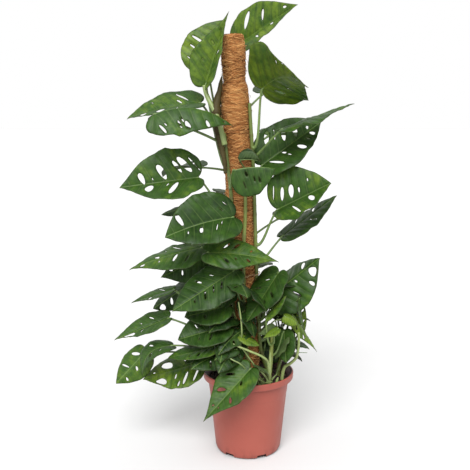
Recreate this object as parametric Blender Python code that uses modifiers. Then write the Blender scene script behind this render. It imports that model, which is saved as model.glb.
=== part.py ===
"""A potted Monstera adansonii that climbs a coir pole, in a round plastic nursery pot.

Blender 4.5, metres, +Z up. The origin is on the ground under the middle of the pot, and the
plant is seen from -Y. Leaf and stem places are written in millimetres.
"""

import math
import random
from typing import NamedTuple

import bmesh
import bpy
from mathutils import Euler, Vector
from mathutils.geometry import delaunay_2d_cdt, interpolate_bezier

MM = 0.001
GAP = 0.3 * MM
MERGE = 0.00001

# Pot
POT_HEIGHT = 153 * MM
RIM_RADIUS = 85 * MM
RIM_DEPTH = 13 * MM
RIM_WIDTH = 4.5 * MM
RIM_ROUND = 1.2 * MM
RIM_FALL = 1.5 * MM
RIM_TAPER = 0.6 * MM
RIM_UNDERCUT = 2.5 * MM
RIM_INNER_DROP = 3 * MM
NECK_RADIUS = 76 * MM
COLLAR_HEIGHT = 113 * MM
COLLAR_RADIUS = 72.5 * MM
COLLAR_STEP = 0.5 * MM
COLLAR_EDGE = 1 * MM
BASE_RADIUS = 62 * MM
BASE_CORNER = 9 * MM
BASE_BEVEL = (2.2 * MM, 2.5 * MM)
BASE_FLAT = 6 * MM
WALL = 1.8 * MM
FLOOR = 4 * MM
FLOOR_CORNER = 8 * MM
WALL_CORNER = 1 * MM
POT_SIDES = 32
FOOT_INNER = 50 * MM
PAD_RADIUS = 20 * MM
RECESS = 1.6 * MM
RECESS_SLOPE = 1.5 * MM
DRAIN_COUNT = 6
DRAIN_WIDTH = 19 * MM
DRAIN_HEIGHT = 8 * MM
DRAIN_DEPTH = 18 * MM
DRAIN_START = 54

# Soil
SOIL_TOP = 139 * MM
SOIL_CROWN = 5 * MM
SOIL_RINGS = 3
SOIL_RELIEF = 1.8 * MM
SOIL_LOW_CORNER = 10 * MM
SOIL_RIM = 0.95
LUMP_PITCH = (190, 170, 310)
LUMP_START = (1.3, -0.6)
LUMP_SHARE = 0.6
SOIL_SIDES = 20
WELL_DEPTH = 80 * MM
WELL_SIDES = 8
HOLE_CLEARANCE = 0.5 * MM

# Pole
POLE_LEAN = math.radians(-2.5)
POLE_FOOT = Vector((0.0, 0.0, 0.0887))
POLE_TOP = 678 * MM
COIR_RADIUS = 24 * MM
COIR_TIP_RADIUS = 20.5 * MM
COIR_SHOULDER = 585 * MM
COIR_SHOULDER_RUN = 12 * MM
COIR_CROWN = 4 * MM
COIR_SIDES = 16
COIR_RINGS = 21
COIR_RELIEF = 0.8 * MM
COIR_WAVE = 14 * MM
STAKE_RADIUS = 8 * MM
STAKE_TOP = 655 * MM
STAKE_FOOT = 45 * MM
STAKE_SIDES = 12

# Stems
STEM_RADIUS = 4 * MM
STEM_TIP = 0.8
STEM_STEPS = 2
STEM_CLEARANCE = 1.4 * MM

# Twine round the pole and its stems
TIE_HEIGHT = 345 * MM
TIE_RADIUS = 1.0 * MM
TIE_POINTS = 20
TIE_SEAT = 0.8 * MM
TIE_TILT = 6 * MM

# Leaves
BLADE = 0.8 * MM
STALK_ROOT = 2.8 * MM
STALK_NECK = 1.9 * MM
STALK_END = 0.9 * MM
STALK_POINTS = 4
STALK_CLEAR = 0.4 * MM
STALK_COLLAR = 1.5 * MM
STALK_LEAVE = 14 * MM
STALK_ARRIVE = 25 * MM
STALK_PULL = 0.35
STALK_RISE = 0.3
STALK_TURN = 0.25
STALK_LEAST = 0.45
STALK_INTO_BLADE = 0.06
OUTLINE_LOW = ((0.0, 0.0), (-0.14, 0.18), (-0.10, 1.0), (0.36, 1.0))
OUTLINE_HIGH = ((0.36, 1.0), (0.70, 1.0), (0.90, 0.36), (1.0, 0.0))
OUTLINE_SLIM = ((0.36, 1.0), (0.48, 1.0), (0.78, 0.06), (1.0, 0.0))
OUTLINE_STEPS = 6
VEIN_SWEEP = 0.28
MIDRIB_STEPS = 5
HOLE_POINTS = 5
HOLE_TURN = 0.3
HOLE_PINCH = 0.22
LONG_LEAF = 95 * MM
SHORT_LEAF = 65 * MM
WAVES = 2.5
WAVE_SHIFT = 1.7
SPINE_START = 0.7
GROWN_COUNT = 2
GROWN_START = 0.02
GROWN_RUN = 0.66
GROWN_STEP = (0.2, 0.55)
GROWN_REACH = (0.44, 0.58)
GROWN_LONG = (0.16, 0.26)
GROWN_SHORT = (0.022, 0.036)


class Leaf(NamedTuple):
    """One leaf: the stem that bears it and how high, then its blade, in millimetres and degrees."""

    stem: str
    height: float
    base: tuple
    tip: tuple
    half_width: float
    lift: tuple
    arch: float = 0
    curl: float = 0.12
    wave: float = 0.03
    point: float = 0


# A lift is how far the left or right half rises above level, seen along the leaf from its base.
# A point is how slender the blade grows towards its tip.
# Upper part of the pole, then its middle, its foot, and the side away from -Y.
LEAVES = (
    Leaf("vine_left", 565, (-72, 26, 702), (-46, 46, 797), 60, (60, -138)),
    Leaf("vine_left", 535, (-76, -14, 681), (-36, -20, 804), 40, (105, -20), point=1),
    Leaf("vine_back", 560, (-49, 38, 622), (-48, 44, 701), 12, (40, -100)),
    Leaf("vine_back", 672, (-19, 74, 757), (84, 2, 818), 50, (95, -34), point=0.4),
    Leaf("vine_right", 570, (22, -26, 672), (90, -145, 669), 70, (132, -144), 18, point=1),
    Leaf("vine_left", 590, (-88, 12, 649), (-219, 5, 621), 42, (-10, 45), 5, point=0.3),
    Leaf("vine_left", 575, (-163, -64, 629), (-28, -58, 609), 52, (-16, -55), 20, point=0.5),
    Leaf("vine_right", 555, (57, -42, 603), (182, -32, 648), 32, (6, -4), 0, 0.12, 0.09, point=0.3),
    Leaf("vine_left", 440, (-92, -10, 517), (-231, -25, 500), 58, (-21, 85), point=0.3),
    Leaf("vine_left", 425, (-28, -50, 451), (-145, -88, 421), 52, (-30, 80), 5),
    Leaf("vine_back", 400, (-109, 30, 462), (-163, 30, 444), 14, (-40, 20)),
    Leaf("vine_right", 500, (24, 5, 538), (130, 15, 615), 50, (85, -28)),
    Leaf("vine_left", 500, (-27, -66, 535), (44, -80, 538), 50, (-60, -82), 4),
    Leaf("vine_right", 395, (52, -15, 460), (145, -30, 509), 60, (90, -16)),
    Leaf("vine_right", 360, (63, 0, 409), (163, 20, 482), 36, (10, -10), point=0.2),
    Leaf("vine_left", 388, (-74, -66, 391), (53, -62, 373), 34, (50, -35), 4, point=0.8),
    Leaf("vine_left", 365, (-86, -10, 389), (-217, -30, 352), 42, (-25, 15), 4, point=0.7),
    Leaf("vine_back", 320, (-81, 18, 368), (-163, 0, 331), 38, (-75, 30), point=0.5),
    Leaf("shoot_left", 235, (-138, -16, 312), (-216, -20, 288), 24, (5, 20), point=0.5),
    Leaf("vine_front", 310, (-26, -52, 356), (-135, -85, 290), 46, (-30, 35), point=0.2),
    Leaf("vine_right", 300, (53, -45, 351), (-6, -75, 266), 40, (0, 20), point=0.3),
    Leaf("vine_right", 255, (35, -30, 300), (126, -40, 376), 54, (18, -62), point=0.2),
    Leaf("shoot_front", 222, (30, -78, 276), (64, -84, 318), 12, (20, -40)),
    Leaf("shoot_front", 248, (50, -92, 261), (22, -104, 246), 12, (-10, 10), point=0.8),
    Leaf("shoot_right", 214, (79, -38, 268), (126, -34, 199), 16, (15, -45), point=1),
    Leaf("shoot_right", 185, (96, -10, 232), (94, -12, 298), 12, (-160, 150)),
    Leaf("shoot_front", 200, (64, -44, 242), (67, -62, 187), 24, (55, -35)),
    Leaf("shoot_right", 225, (56, 26, 261), (116, 34, 291), 28, (15, -25)),
    Leaf("shoot_front", 165, (2, -80, 183), (-81, -122, 102), 36, (-10, 45), point=0.8),
    Leaf("shoot_left", 158, (-92, -4, 168), (-197, -20, 141), 44, (-26, 25), point=0.3),
    Leaf("shoot_left", 175, (-193, -15, 192), (-247, -25, 134), 32, (-75, 40), point=0.2),
    Leaf("shoot_left", 190, (-142, -35, 211), (-194, -50, 162), 27, (0, 25), 19),
    Leaf("shoot_middle", 180, (-56, -52, 215), (-146, -62, 197), 28, (-5, 20)),
    Leaf("shoot_left", 215, (-150, 0, 253), (-251, -10, 214), 28, (-5, 45), point=0.6),
    Leaf("shoot_left", 225, (-117, 30, 307), (-182, 30, 263), 28, (-80, 30)),
    Leaf("vine_left", 210, (-36, -48, 254), (-128, -56, 229), 40, (-20, 55)),
    Leaf("vine_front", 240, (-36, -46, 290), (-116, -52, 270), 36, (-25, 50)),
    Leaf("shoot_middle", 210, (-16, -65, 239), (19, -75, 224), 12, (20, -25)),
    Leaf("vine_back", 620, (30, 66, 668), (84, 150, 674), 36, (15, -10), 8),
    Leaf("vine_back", 540, (40, 60, 590), (120, 125, 575), 44, (20, 10), 8),
    Leaf("vine_back", 520, (-92, 64, 530), (-168, 118, 508), 38, (10, 20), 8),
    Leaf("vine_back", 450, (-28, 78, 478), (-35, 190, 450), 40, (15, 15), 10),
    Leaf("vine_back", 390, (62, 72, 432), (136, 128, 418), 36, (20, 5), 8),
    Leaf("vine_back", 370, (-85, 70, 415), (-150, 125, 395), 42, (5, 20), 8),
    Leaf("vine_back", 300, (0, 85, 335), (20, 190, 305), 44, (15, 10), 8),
    Leaf("vine_back", 240, (-60, 80, 280), (-115, 165, 240), 40, (5, 15), 8),
    Leaf("vine_back", 210, (50, 70, 235), (114, 118, 205), 34, (15, 0), 8),
)

# Windows by leaf number: -1 for the left half or 1 for the right, the share of the midrib at which
# the veins beside the window start, how far out it lies towards the edge, then half its length in
# shares of the half width and half its width in shares of the leaf's length.
WINDOWS = {
    1: ((-1, 0.43, 0.58, 0.27, 0.027), (-1, 0.24, 0.62, 0.15, 0.018), (-1, -0.05, 0.68, 0.12, 0.015),
        (1, 0.3, 0.5, 0.2, 0.025), (1, 0.55, 0.45, 0.15, 0.02)),
    2: ((-1, 0.5, 0.35, 0.14, 0.016), (1, 0.35, 0.5, 0.2, 0.02)),
    4: ((-1, 0.1, 0.6, 0.25, 0.042), (-1, 0.43, 0.45, 0.2, 0.02), (-1, 0.8, 0.5, 0.12, 0.026),
        (1, 0.57, 0.2, 0.15, 0.026), (1, 0.28, 0.5, 0.16, 0.02)),
    5: ((1, 0.06, 0.4, 0.12, 0.028), (-1, 0.445, 0.62, 0.1, 0.012)),
    6: ((1, 0.09, 0.5, 0.29, 0.022), (1, 0.22, 0.2, 0.12, 0.018), (-1, 0.45, 0.5, 0.25, 0.05),
        (-1, 0.72, 0.5, 0.3, 0.05)),
    7: ((1, -0.09, 0.76, 0.16, 0.026), (1, 0.2, 0.63, 0.14, 0.018), (1, 0.31, 0.66, 0.16, 0.034),
        (1, 0.6, 0.72, 0.2, 0.024), (-1, 0.3, 0.5, 0.2, 0.03), (-1, 0.62, 0.5, 0.2, 0.025)),
    9: ((1, 0.01, 0.48, 0.25, 0.06), (1, 0.14, 0.42, 0.19, 0.03), (1, 0.39, 0.32, 0.25, 0.045),
        (1, 0.68, 0.3, 0.29, 0.034), (-1, 0.58, 0.37, 0.22, 0.055), (-1, 0.23, 0.42, 0.27, 0.045)),
    10: ((1, 0.7, 0.5, 0.35, 0.034), (-1, 0.46, 0.3, 0.14, 0.026)),
    12: ((-1, 0.09, 0.7, 0.19, 0.055), (-1, 0.41, 0.42, 0.18, 0.036), (-1, 0.6, 0.33, 0.22, 0.034),
         (1, 0.78, 0.42, 0.26, 0.024), (1, 0.5, 0.55, 0.23, 0.036), (1, 0.08, 0.38, 0.27, 0.028)),
    13: ((1, 0.25, 0.22, 0.09, 0.035), (1, 0.55, 0.5, 0.12, 0.025)),
    14: ((-1, 0.09, 0.37, 0.18, 0.036), (-1, 0.28, 0.31, 0.18, 0.05), (1, 0.57, 0.38, 0.24, 0.048),
         (1, 0.2, 0.56, 0.26, 0.024)),
    15: ((-1, 0.55, 0.45, 0.25, 0.02), (-1, 0.2, 0.5, 0.2, 0.02), (1, 0.4, 0.5, 0.2, 0.02)),
    16: ((-1, 0.15, 0.45, 0.16, 0.02), (-1, 0.3, 0.45, 0.2, 0.025), (1, 0.15, 0.5, 0.12, 0.03),
         (1, 0.5, 0.5, 0.15, 0.02)),
    17: ((1, 0.2, 0.5, 0.25, 0.018), (1, 0.58, 0.16, 0.12, 0.03), (-1, 0.32, 0.27, 0.2, 0.022),
         (-1, 0.79, 0.32, 0.3, 0.03)),
    18: ((1, 0.72, 0.3, 0.2, 0.03), (1, 0.35, 0.5, 0.15, 0.02), (-1, 0.52, 0.32, 0.15, 0.018)),
    19: ((1, 0.15, 0.5, 0.3, 0.022), (-1, 0.45, 0.5, 0.3, 0.022)),
    20: ((-1, 0.48, 0.27, 0.2, 0.016), (-1, 0.2, 0.28, 0.15, 0.016), (1, 0.4, 0.5, 0.15, 0.016)),
    21: ((-1, 0.3, 0.5, 0.16, 0.018), (1, 0.3, 0.5, 0.15, 0.018)),
    22: ((1, 0.77, 0.45, 0.32, 0.07), (1, 0.6, 0.72, 0.16, 0.03), (1, 0.3, 0.5, 0.15, 0.02),
         (-1, 0.67, 0.45, 0.3, 0.032), (-1, 0.3, 0.5, 0.14, 0.02)),
    28: ((-1, 0.4, 0.5, 0.2, 0.03),),
    29: ((1, 0.1, 0.58, 0.16, 0.03), (1, 0.42, 0.45, 0.22, 0.035), (-1, 0.2, 0.2, 0.1, 0.022),
         (-1, 0.45, 0.5, 0.2, 0.02)),
    30: ((1, 0.075, 0.45, 0.26, 0.08), (1, -0.13, 0.4, 0.2, 0.032), (1, 0.485, 0.42, 0.25, 0.1),
         (-1, 0.64, 0.62, 0.22, 0.1), (-1, 0.16, 0.58, 0.27, 0.028), (-1, -0.08, 0.6, 0.27, 0.032)),
    31: ((1, 0.08, 0.42, 0.25, 0.055), (1, 0.5, 0.42, 0.33, 0.022), (-1, 0.35, 0.3, 0.12, 0.03),
         (-1, 0.7, 0.5, 0.2, 0.025)),
    32: ((1, 0.25, 0.5, 0.14, 0.03), (-1, 0.45, 0.35, 0.2, 0.035)),
    33: ((-1, 0.3, 0.5, 0.15, 0.02),),
    34: ((-1, 0.66, 0.48, 0.3, 0.11), (1, 0.15, 0.5, 0.14, 0.02)),
    35: ((-1, 0.74, 0.48, 0.34, 0.08), (-1, 0.46, 0.3, 0.24, 0.035)),
    36: ((-1, 0.3, 0.45, 0.15, 0.018), (1, 0.3, 0.5, 0.2, 0.02)),
    37: ((1, 0.35, 0.5, 0.18, 0.022), (-1, 0.5, 0.4, 0.15, 0.02)),
}


# Materials
def material(name, colour, roughness):
    made = bpy.data.materials.new(name)
    made.use_nodes = True
    shader = made.node_tree.nodes["Principled BSDF"]
    shader.inputs["Base Color"].default_value = (*colour, 1.0)
    shader.inputs["Roughness"].default_value = roughness
    shader.inputs["Metallic"].default_value = 0.0
    return made


def add_object(name, mesh, collection, look=None):
    made = bpy.data.objects.new(name, mesh)
    collection.objects.link(made)
    if look:
        mesh.materials.clear()
        mesh.materials.append(look)
    return made


def applied(source, name, collection, look):
    """The source as its modifiers leave it, in an object of its own; the source is removed."""
    bpy.context.view_layer.update()
    graph = bpy.context.evaluated_depsgraph_get()
    mesh = bpy.data.meshes.new_from_object(source.evaluated_get(graph))
    shape = bmesh.new()
    shape.from_mesh(mesh)
    bmesh.ops.remove_doubles(shape, verts=shape.verts, dist=MERGE)
    shape.to_mesh(mesh)
    shape.free()
    place = source.matrix_world.copy()
    bpy.data.objects.remove(source, do_unlink=True)
    made = add_object(name, mesh, collection, look)
    made.matrix_world = place
    return made


def turned(name, profile, sides, collection, look=None):
    """A profile of (radius, height) points turned round +Z."""
    mesh = bpy.data.meshes.new(name)
    points = [(radius, 0.0, height) for radius, height in profile]
    mesh.from_pydata(points, [(i, i + 1) for i in range(len(points) - 1)], [])
    made = add_object(name, mesh, collection, look)
    screw = made.modifiers.new("Turn", "SCREW")
    screw.axis = "Z"
    screw.steps = sides
    screw.render_steps = sides
    screw.use_merge_vertices = True
    screw.merge_threshold = MERGE
    return made


def tube(name, points, radii, sides_level, collection, closed=False):
    """A round tube through the points, with a radius in metres for each of them."""
    curve = bpy.data.curves.new(name, "CURVE")
    curve.dimensions = "3D"
    curve.bevel_depth = 1.0
    curve.bevel_resolution = sides_level
    curve.use_fill_caps = not closed
    spline = curve.splines.new("POLY")
    spline.points.add(len(points) - 1)
    spline.use_cyclic_u = closed
    for spot, place, radius in zip(spline.points, points, radii):
        spot.co = (*place, 1.0)
        spot.radius = radius
    made = bpy.data.objects.new(name, curve)
    collection.objects.link(made)
    return made


def cut(target, cutters, collection):
    """Takes every cutter away from the target with one Boolean."""
    for cutter in cutters:
        cutter.hide_render = True
        cutter.display_type = "WIRE"
    boolean = target.modifiers.new("Cut", "BOOLEAN")
    boolean.operation = "DIFFERENCE"
    boolean.operand_type = "COLLECTION"
    boolean.collection = collection


# Pot
def pot_wall(height):
    """The outer radius of the pot's wall at a height below the rim."""
    if height > COLLAR_HEIGHT:
        share = (height - COLLAR_HEIGHT) / (POT_HEIGHT - RIM_DEPTH - COLLAR_HEIGHT)
        return COLLAR_RADIUS + COLLAR_STEP + share * (NECK_RADIUS - COLLAR_RADIUS - COLLAR_STEP)
    share = (height - BASE_CORNER) / (COLLAR_HEIGHT - BASE_CORNER)
    return BASE_RADIUS + share * (COLLAR_RADIUS - BASE_RADIUS)


def pot_profile():
    lip_low = POT_HEIGHT - RIM_DEPTH
    inside = [
        (0.0, FLOOR),
        (BASE_RADIUS - FLOOR_CORNER, FLOOR),
        (BASE_RADIUS - WALL - WALL_CORNER, BASE_CORNER),
        (COLLAR_RADIUS - WALL, COLLAR_HEIGHT),
        (NECK_RADIUS - WALL, lip_low),
        (RIM_RADIUS - RIM_WIDTH, POT_HEIGHT - RIM_INNER_DROP),
    ]
    lip = [
        (RIM_RADIUS - RIM_WIDTH + RIM_ROUND, POT_HEIGHT),
        (RIM_RADIUS - RIM_ROUND, POT_HEIGHT),
        (RIM_RADIUS, POT_HEIGHT - RIM_FALL),
        (RIM_RADIUS - RIM_TAPER, lip_low + RIM_FALL),
        (RIM_RADIUS - RIM_UNDERCUT, lip_low),
    ]
    outside = [
        (NECK_RADIUS, lip_low),
        (COLLAR_RADIUS + COLLAR_STEP, COLLAR_HEIGHT + COLLAR_EDGE),
        (COLLAR_RADIUS, COLLAR_HEIGHT - COLLAR_EDGE),
        (BASE_RADIUS, BASE_CORNER),
        (BASE_RADIUS - BASE_BEVEL[0], BASE_BEVEL[1]),
        (BASE_RADIUS - BASE_FLAT, 0.0),
        (FOOT_INNER, 0.0),
        (FOOT_INNER - RECESS_SLOPE, RECESS),
        (PAD_RADIUS + RECESS_SLOPE, RECESS),
        (PAD_RADIUS, 0.0),
        (0.0, 0.0),
    ]
    return inside + lip + outside


def make_pot(parts, tools, look):
    pot = turned("pot", pot_profile(), POT_SIDES, parts, look)
    drains = bpy.data.collections.new("pot_drains")
    tools.children.link(drains)
    cutters = []
    for number in range(DRAIN_COUNT):
        angle = math.radians(DRAIN_START + 360 / DRAIN_COUNT * number)
        shape = bmesh.new()
        bmesh.ops.create_cube(shape, size=1.0)
        mesh = bpy.data.meshes.new("drain")
        shape.to_mesh(mesh)
        shape.free()
        cutter = add_object(f"drain_{number}", mesh, drains)
        cutter.location = (BASE_RADIUS * math.cos(angle), BASE_RADIUS * math.sin(angle), 0.0)
        cutter.rotation_euler = (0.0, 0.0, angle)
        cutter.scale = (DRAIN_DEPTH, DRAIN_WIDTH, 2 * DRAIN_HEIGHT)
        cutters.append(cutter)
    cut(pot, cutters, drains)


# Pole
def on_pole(angle, along, radius):
    """A world point beside the pole, at an angle in degrees from +X and a distance up its axis."""
    turn = math.radians(angle)
    local = Vector((radius * math.cos(turn), radius * math.sin(turn), along))
    local.rotate(pole_turn())
    return POLE_FOOT + local


def pole_turn():
    return Euler((0.0, POLE_LEAN, 0.0))


def coir_radius(along):
    """The wrapped fibre's radius, with the narrower top and a dent under each turn of thread."""
    share = min(max((along - COIR_SHOULDER) / COIR_SHOULDER_RUN, 0.0), 1.0)
    radius = COIR_RADIUS + share * (COIR_TIP_RADIUS - COIR_RADIUS)
    return radius + COIR_RELIEF * math.sin(along / COIR_WAVE)


def make_coir(parts, look):
    shoulder = POLE_TOP - COIR_CROWN
    steps = [shoulder * (1 - i / COIR_RINGS) for i in range(COIR_RINGS + 1)]
    rounded = [(0.0, POLE_TOP), (COIR_TIP_RADIUS - COIR_CROWN, POLE_TOP)]
    bore = STAKE_RADIUS + GAP
    profile = rounded + [(coir_radius(z), z) for z in steps]
    profile += [(bore, 0.0), (bore, STAKE_TOP + GAP), (0.0, STAKE_TOP + GAP)]
    coir = turned("coir_wrap", profile, COIR_SIDES, parts, look)
    coir.location = POLE_FOOT
    coir.rotation_euler = pole_turn()


def make_stake(parts, look):
    shape = bmesh.new()
    height = STAKE_TOP + STAKE_FOOT
    bmesh.ops.create_cone(
        shape, cap_ends=True, segments=STAKE_SIDES, radius1=STAKE_RADIUS, radius2=STAKE_RADIUS, depth=height
    )
    bmesh.ops.translate(shape, verts=shape.verts, vec=(0.0, 0.0, height / 2 - STAKE_FOOT))
    mesh = bpy.data.meshes.new("stake")
    shape.to_mesh(mesh)
    shape.free()
    stake = add_object("stake", mesh, parts, look)
    stake.location = POLE_FOOT
    stake.rotation_euler = pole_turn()


# Stems
def beside(angle, height):
    """A stem's centre where it climbs the pole, at a world height in millimetres."""
    return on_pole(angle, height * MM - POLE_FOOT.z, COIR_RADIUS + STEM_RADIUS + STEM_CLEARANCE)


def place(x, y, z):
    return Vector((x, y, z)) * MM


def stem_routes():
    """Each stem's centre line from the soil up, through points chosen by hand."""
    return {
        "vine_left": [
            place(-26, -23, 106), place(-26, -23, 150), beside(228, 190), beside(226, 250),
            beside(230, 310), beside(236, 370), beside(240, 430), beside(240, 490),
            beside(232, 540), beside(222, 598),
        ],
        "vine_front": [
            place(2, -34, 106), place(2, -34, 155), beside(272, 200), beside(268, 260),
            beside(272, 320), beside(276, 385), beside(288, 450), beside(292, 500),
        ],
        "vine_right": [
            place(36, -16, 106), place(36, -16, 155), beside(338, 200), beside(334, 260),
            beside(330, 320), beside(331, 385), beside(335, 450), beside(338, 520),
            beside(334, 575), beside(330, 612), beside(328, 648),
        ],
        "vine_back": [
            place(-4, 36, 106), place(-4, 36, 155), beside(94, 200), beside(98, 270),
            beside(92, 340), beside(86, 410), beside(92, 480), beside(100, 550),
            beside(94, 620), beside(88, 676),
        ],
        "shoot_front": [
            place(38, -47, 106), place(38, -47, 155), place(40, -53, 190), place(41, -60, 225),
            place(41, -65, 256),
        ],
        "shoot_left": [
            place(-46, -8, 106), place(-46, -8, 150), place(-52, -10, 185), place(-58, -8, 215),
            place(-62, -4, 245),
        ],
        "shoot_right": [
            place(57, 2, 106), place(57, 2, 150), place(62, 0, 180), place(64, 2, 210), place(63, 6, 240),
        ],
        "shoot_middle": [
            place(-14, -44, 106), place(-14, -44, 150), place(-14, -45, 180), place(-16, -49, 215),
            place(-17, -53, 238),
        ],
    }


def smooth_route(points, steps):
    """More points on a smooth curve through the given ones."""
    route = []
    last = len(points) - 1
    for i in range(last):
        before = points[max(i - 1, 0)]
        after = points[min(i + 2, last)]
        start_pull = points[i] + (points[i + 1] - before) / 6
        end_pull = points[i + 1] - (after - points[i]) / 6
        route += interpolate_bezier(points[i], start_pull, end_pull, points[i + 1], steps + 1)[:-1]
    return route + [points[last]]


def stem_line(points):
    """The stem's centre line, straight where it stands in the soil."""
    return [points[0]] + smooth_route(points[1:], STEM_STEPS)


def stem_radius(share):
    """The stem's radius at a share of its line."""
    return STEM_RADIUS * (1 - (1 - STEM_TIP) * share)


def make_stem(name, points, parts, tools, look):
    route = stem_line(points)
    radii = [stem_radius(i / (len(route) - 1)) for i in range(len(route))]
    raw = tube(name + "_line", route, radii, 1, tools)
    applied(raw, name, parts, look)


def stem_spot(points, height):
    """The stem's centre at a height, and its radius there."""
    route = stem_line(points)
    last = len(route) - 1
    for i in range(last):
        if route[i].z <= height <= route[i + 1].z:
            share = (height - route[i].z) / (route[i + 1].z - route[i].z)
            return route[i].lerp(route[i + 1], share), stem_radius((i + share) / last)
    return route[last], stem_radius(1.0)


# Twine
def make_tie(routes, parts, tools, look):
    """A loop of twine drawn round the pole and the stems that climb it."""
    held = [stem_spot(points, TIE_HEIGHT) for name, points in routes.items() if name.startswith("vine")]
    along = TIE_HEIGHT - POLE_FOOT.z
    middle = on_pole(0, along, 0.0)
    points = []
    for number in range(TIE_POINTS):
        turn = 2 * math.pi * number / TIE_POINTS
        out = Vector((math.cos(turn), math.sin(turn), 0.0))
        reach = COIR_RADIUS + COIR_RELIEF
        for spot, radius in held:
            reach = max(reach, (spot - middle).dot(out) + radius)
        height = middle.z + TIE_TILT * math.sin(turn)
        level = middle + out * (reach + TIE_RADIUS + TIE_SEAT)
        points.append(Vector((level.x, level.y, height)))
    raw = tube("tie_line", points, [TIE_RADIUS] * TIE_POINTS, 1, tools, closed=True)
    applied(raw, "twine_tie", parts, look)


# Soil
def make_soil(routes, parts, tools, look):
    inner = pot_wall(SOIL_TOP) - WALL - 2 * GAP
    low = FLOOR + GAP
    profile = [(0.0, SOIL_TOP + SOIL_CROWN)]
    for ring in range(1, SOIL_RINGS + 1):
        share = ring / SOIL_RINGS
        profile.append((inner * share, SOIL_TOP + SOIL_CROWN * (1 - share * share)))
    profile += [
        (COLLAR_RADIUS - WALL - 2 * GAP, COLLAR_HEIGHT),
        (BASE_RADIUS - WALL - WALL_CORNER - 2 * GAP, SOIL_LOW_CORNER),
        (BASE_RADIUS - BASE_CORNER, low),
        (0.0, low),
    ]
    raw = turned("soil_form", profile, SOIL_SIDES, tools)
    raw = applied(raw, "soil_raw", tools, None)
    for vertex in raw.data.vertices:
        x, y, z = vertex.co
        edge = math.hypot(x, y) / inner
        if z > SOIL_TOP - GAP and edge < SOIL_RIM:
            vertex.co.z += SOIL_RELIEF * lumps(x, y) * (1 - edge)
    wells = bpy.data.collections.new("soil_holes")
    tools.children.link(wells)
    cutters = []
    for name, points in routes.items():
        radius = STEM_RADIUS + HOLE_CLEARANCE
        foot = points[0].z - HOLE_CLEARANCE
        cutters.append(well(name + "_hole", radius, WELL_DEPTH, WELL_SIDES, wells))
        cutters[-1].location = (points[0].x, points[0].y, foot)
    coir_hole = well("coir_hole", COIR_RADIUS + COIR_RELIEF + HOLE_CLEARANCE, WELL_DEPTH, COIR_SIDES, wells)
    stake_hole = well("stake_hole", STAKE_RADIUS + HOLE_CLEARANCE, WELL_DEPTH, STAKE_SIDES, wells)
    turn = pole_turn()
    for hole, drop in ((coir_hole, GAP), (stake_hole, STAKE_FOOT + GAP)):
        down = Vector((0.0, 0.0, -drop))
        down.rotate(turn)
        hole.location = POLE_FOOT + down
        hole.rotation_euler = turn
        cutters.append(hole)
    cut(raw, cutters, wells)
    applied(raw, "soil", parts, look)


def lumps(x, y):
    """How far loose earth rises or dips at a place, where 1 is a common lump."""
    large = math.sin(x * LUMP_PITCH[0] + LUMP_START[0]) * math.cos(y * LUMP_PITCH[1] + LUMP_START[1])
    return large + LUMP_SHARE * math.sin((x + y) * LUMP_PITCH[2])


def well(name, radius, depth, sides, collection):
    """A round cutter that stands on its own origin."""
    shape = bmesh.new()
    bmesh.ops.create_cone(shape, cap_ends=True, segments=sides, radius1=radius, radius2=radius, depth=depth)
    bmesh.ops.translate(shape, verts=shape.verts, vec=(0.0, 0.0, depth / 2))
    mesh = bpy.data.meshes.new(name)
    shape.to_mesh(mesh)
    shape.free()
    return add_object(name, mesh, collection)


# Leaves
def half_outline(slim):
    """One side of a leaf from base to tip, as (share of length, share of half width).

    The part towards the tip is full where slim is 0 and slender where it is 1.
    """
    low = [Vector((*knot, 0.0)) for knot in OUTLINE_LOW]
    high = [
        Vector((*full, 0.0)).lerp(Vector((*slender, 0.0)), slim)
        for full, slender in zip(OUTLINE_HIGH, OUTLINE_SLIM)
    ]
    points = interpolate_bezier(*low, OUTLINE_STEPS + 1)[:-1] + interpolate_bezier(*high, OUTLINE_STEPS + 1)
    return [(point.x, point.y) for point in points]


def width_at(share, edge):
    """The half width within an outline at a share of the leaf's length, where 1 is the widest place."""
    widest = 0.0
    for (low, low_width), (high, high_width) in zip(edge, edge[1:]):
        if low != high and min(low, high) <= share <= max(low, high):
            part = (share - low) / (high - low)
            widest = max(widest, low_width + part * (high_width - low_width))
    return widest


def grown_windows(length, rng):
    """Windows for a leaf with no row of its own: evenly along both halves, each a little different."""
    count = GROWN_COUNT if length > SHORT_LEAF else 0
    rows = []
    for side in (-1, 1):
        for number in range(count):
            vein = GROWN_START + GROWN_RUN * (number + rng.uniform(*GROWN_STEP)) / count
            reach = rng.uniform(*GROWN_REACH)
            rows.append((side, vein, reach, rng.uniform(*GROWN_LONG), rng.uniform(*GROWN_SHORT)))
    return rows


def window_ring(window, edge):
    """A window's rim as (share of length, signed share of half width), narrower towards the midrib."""
    side, vein, reach, long_radius, short_radius = window
    ring = []
    for point in range(HOLE_POINTS):
        turn = 2 * math.pi * point / HOLE_POINTS + HOLE_TURN
        out = reach + long_radius * math.sin(turn)
        start = vein + short_radius * math.cos(turn) * (1 + HOLE_PINCH * math.sin(turn))
        share = start + VEIN_SWEEP * out * (1 - start)
        ring.append((share, side * out * width_at(share, edge)))
    return ring


class Frame(NamedTuple):
    """Where a leaf lies: its base, its direction and length, and the way each half points."""

    base: Vector
    along: Vector
    length: float
    up: Vector
    out: tuple
    normal: tuple
    half: float


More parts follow.
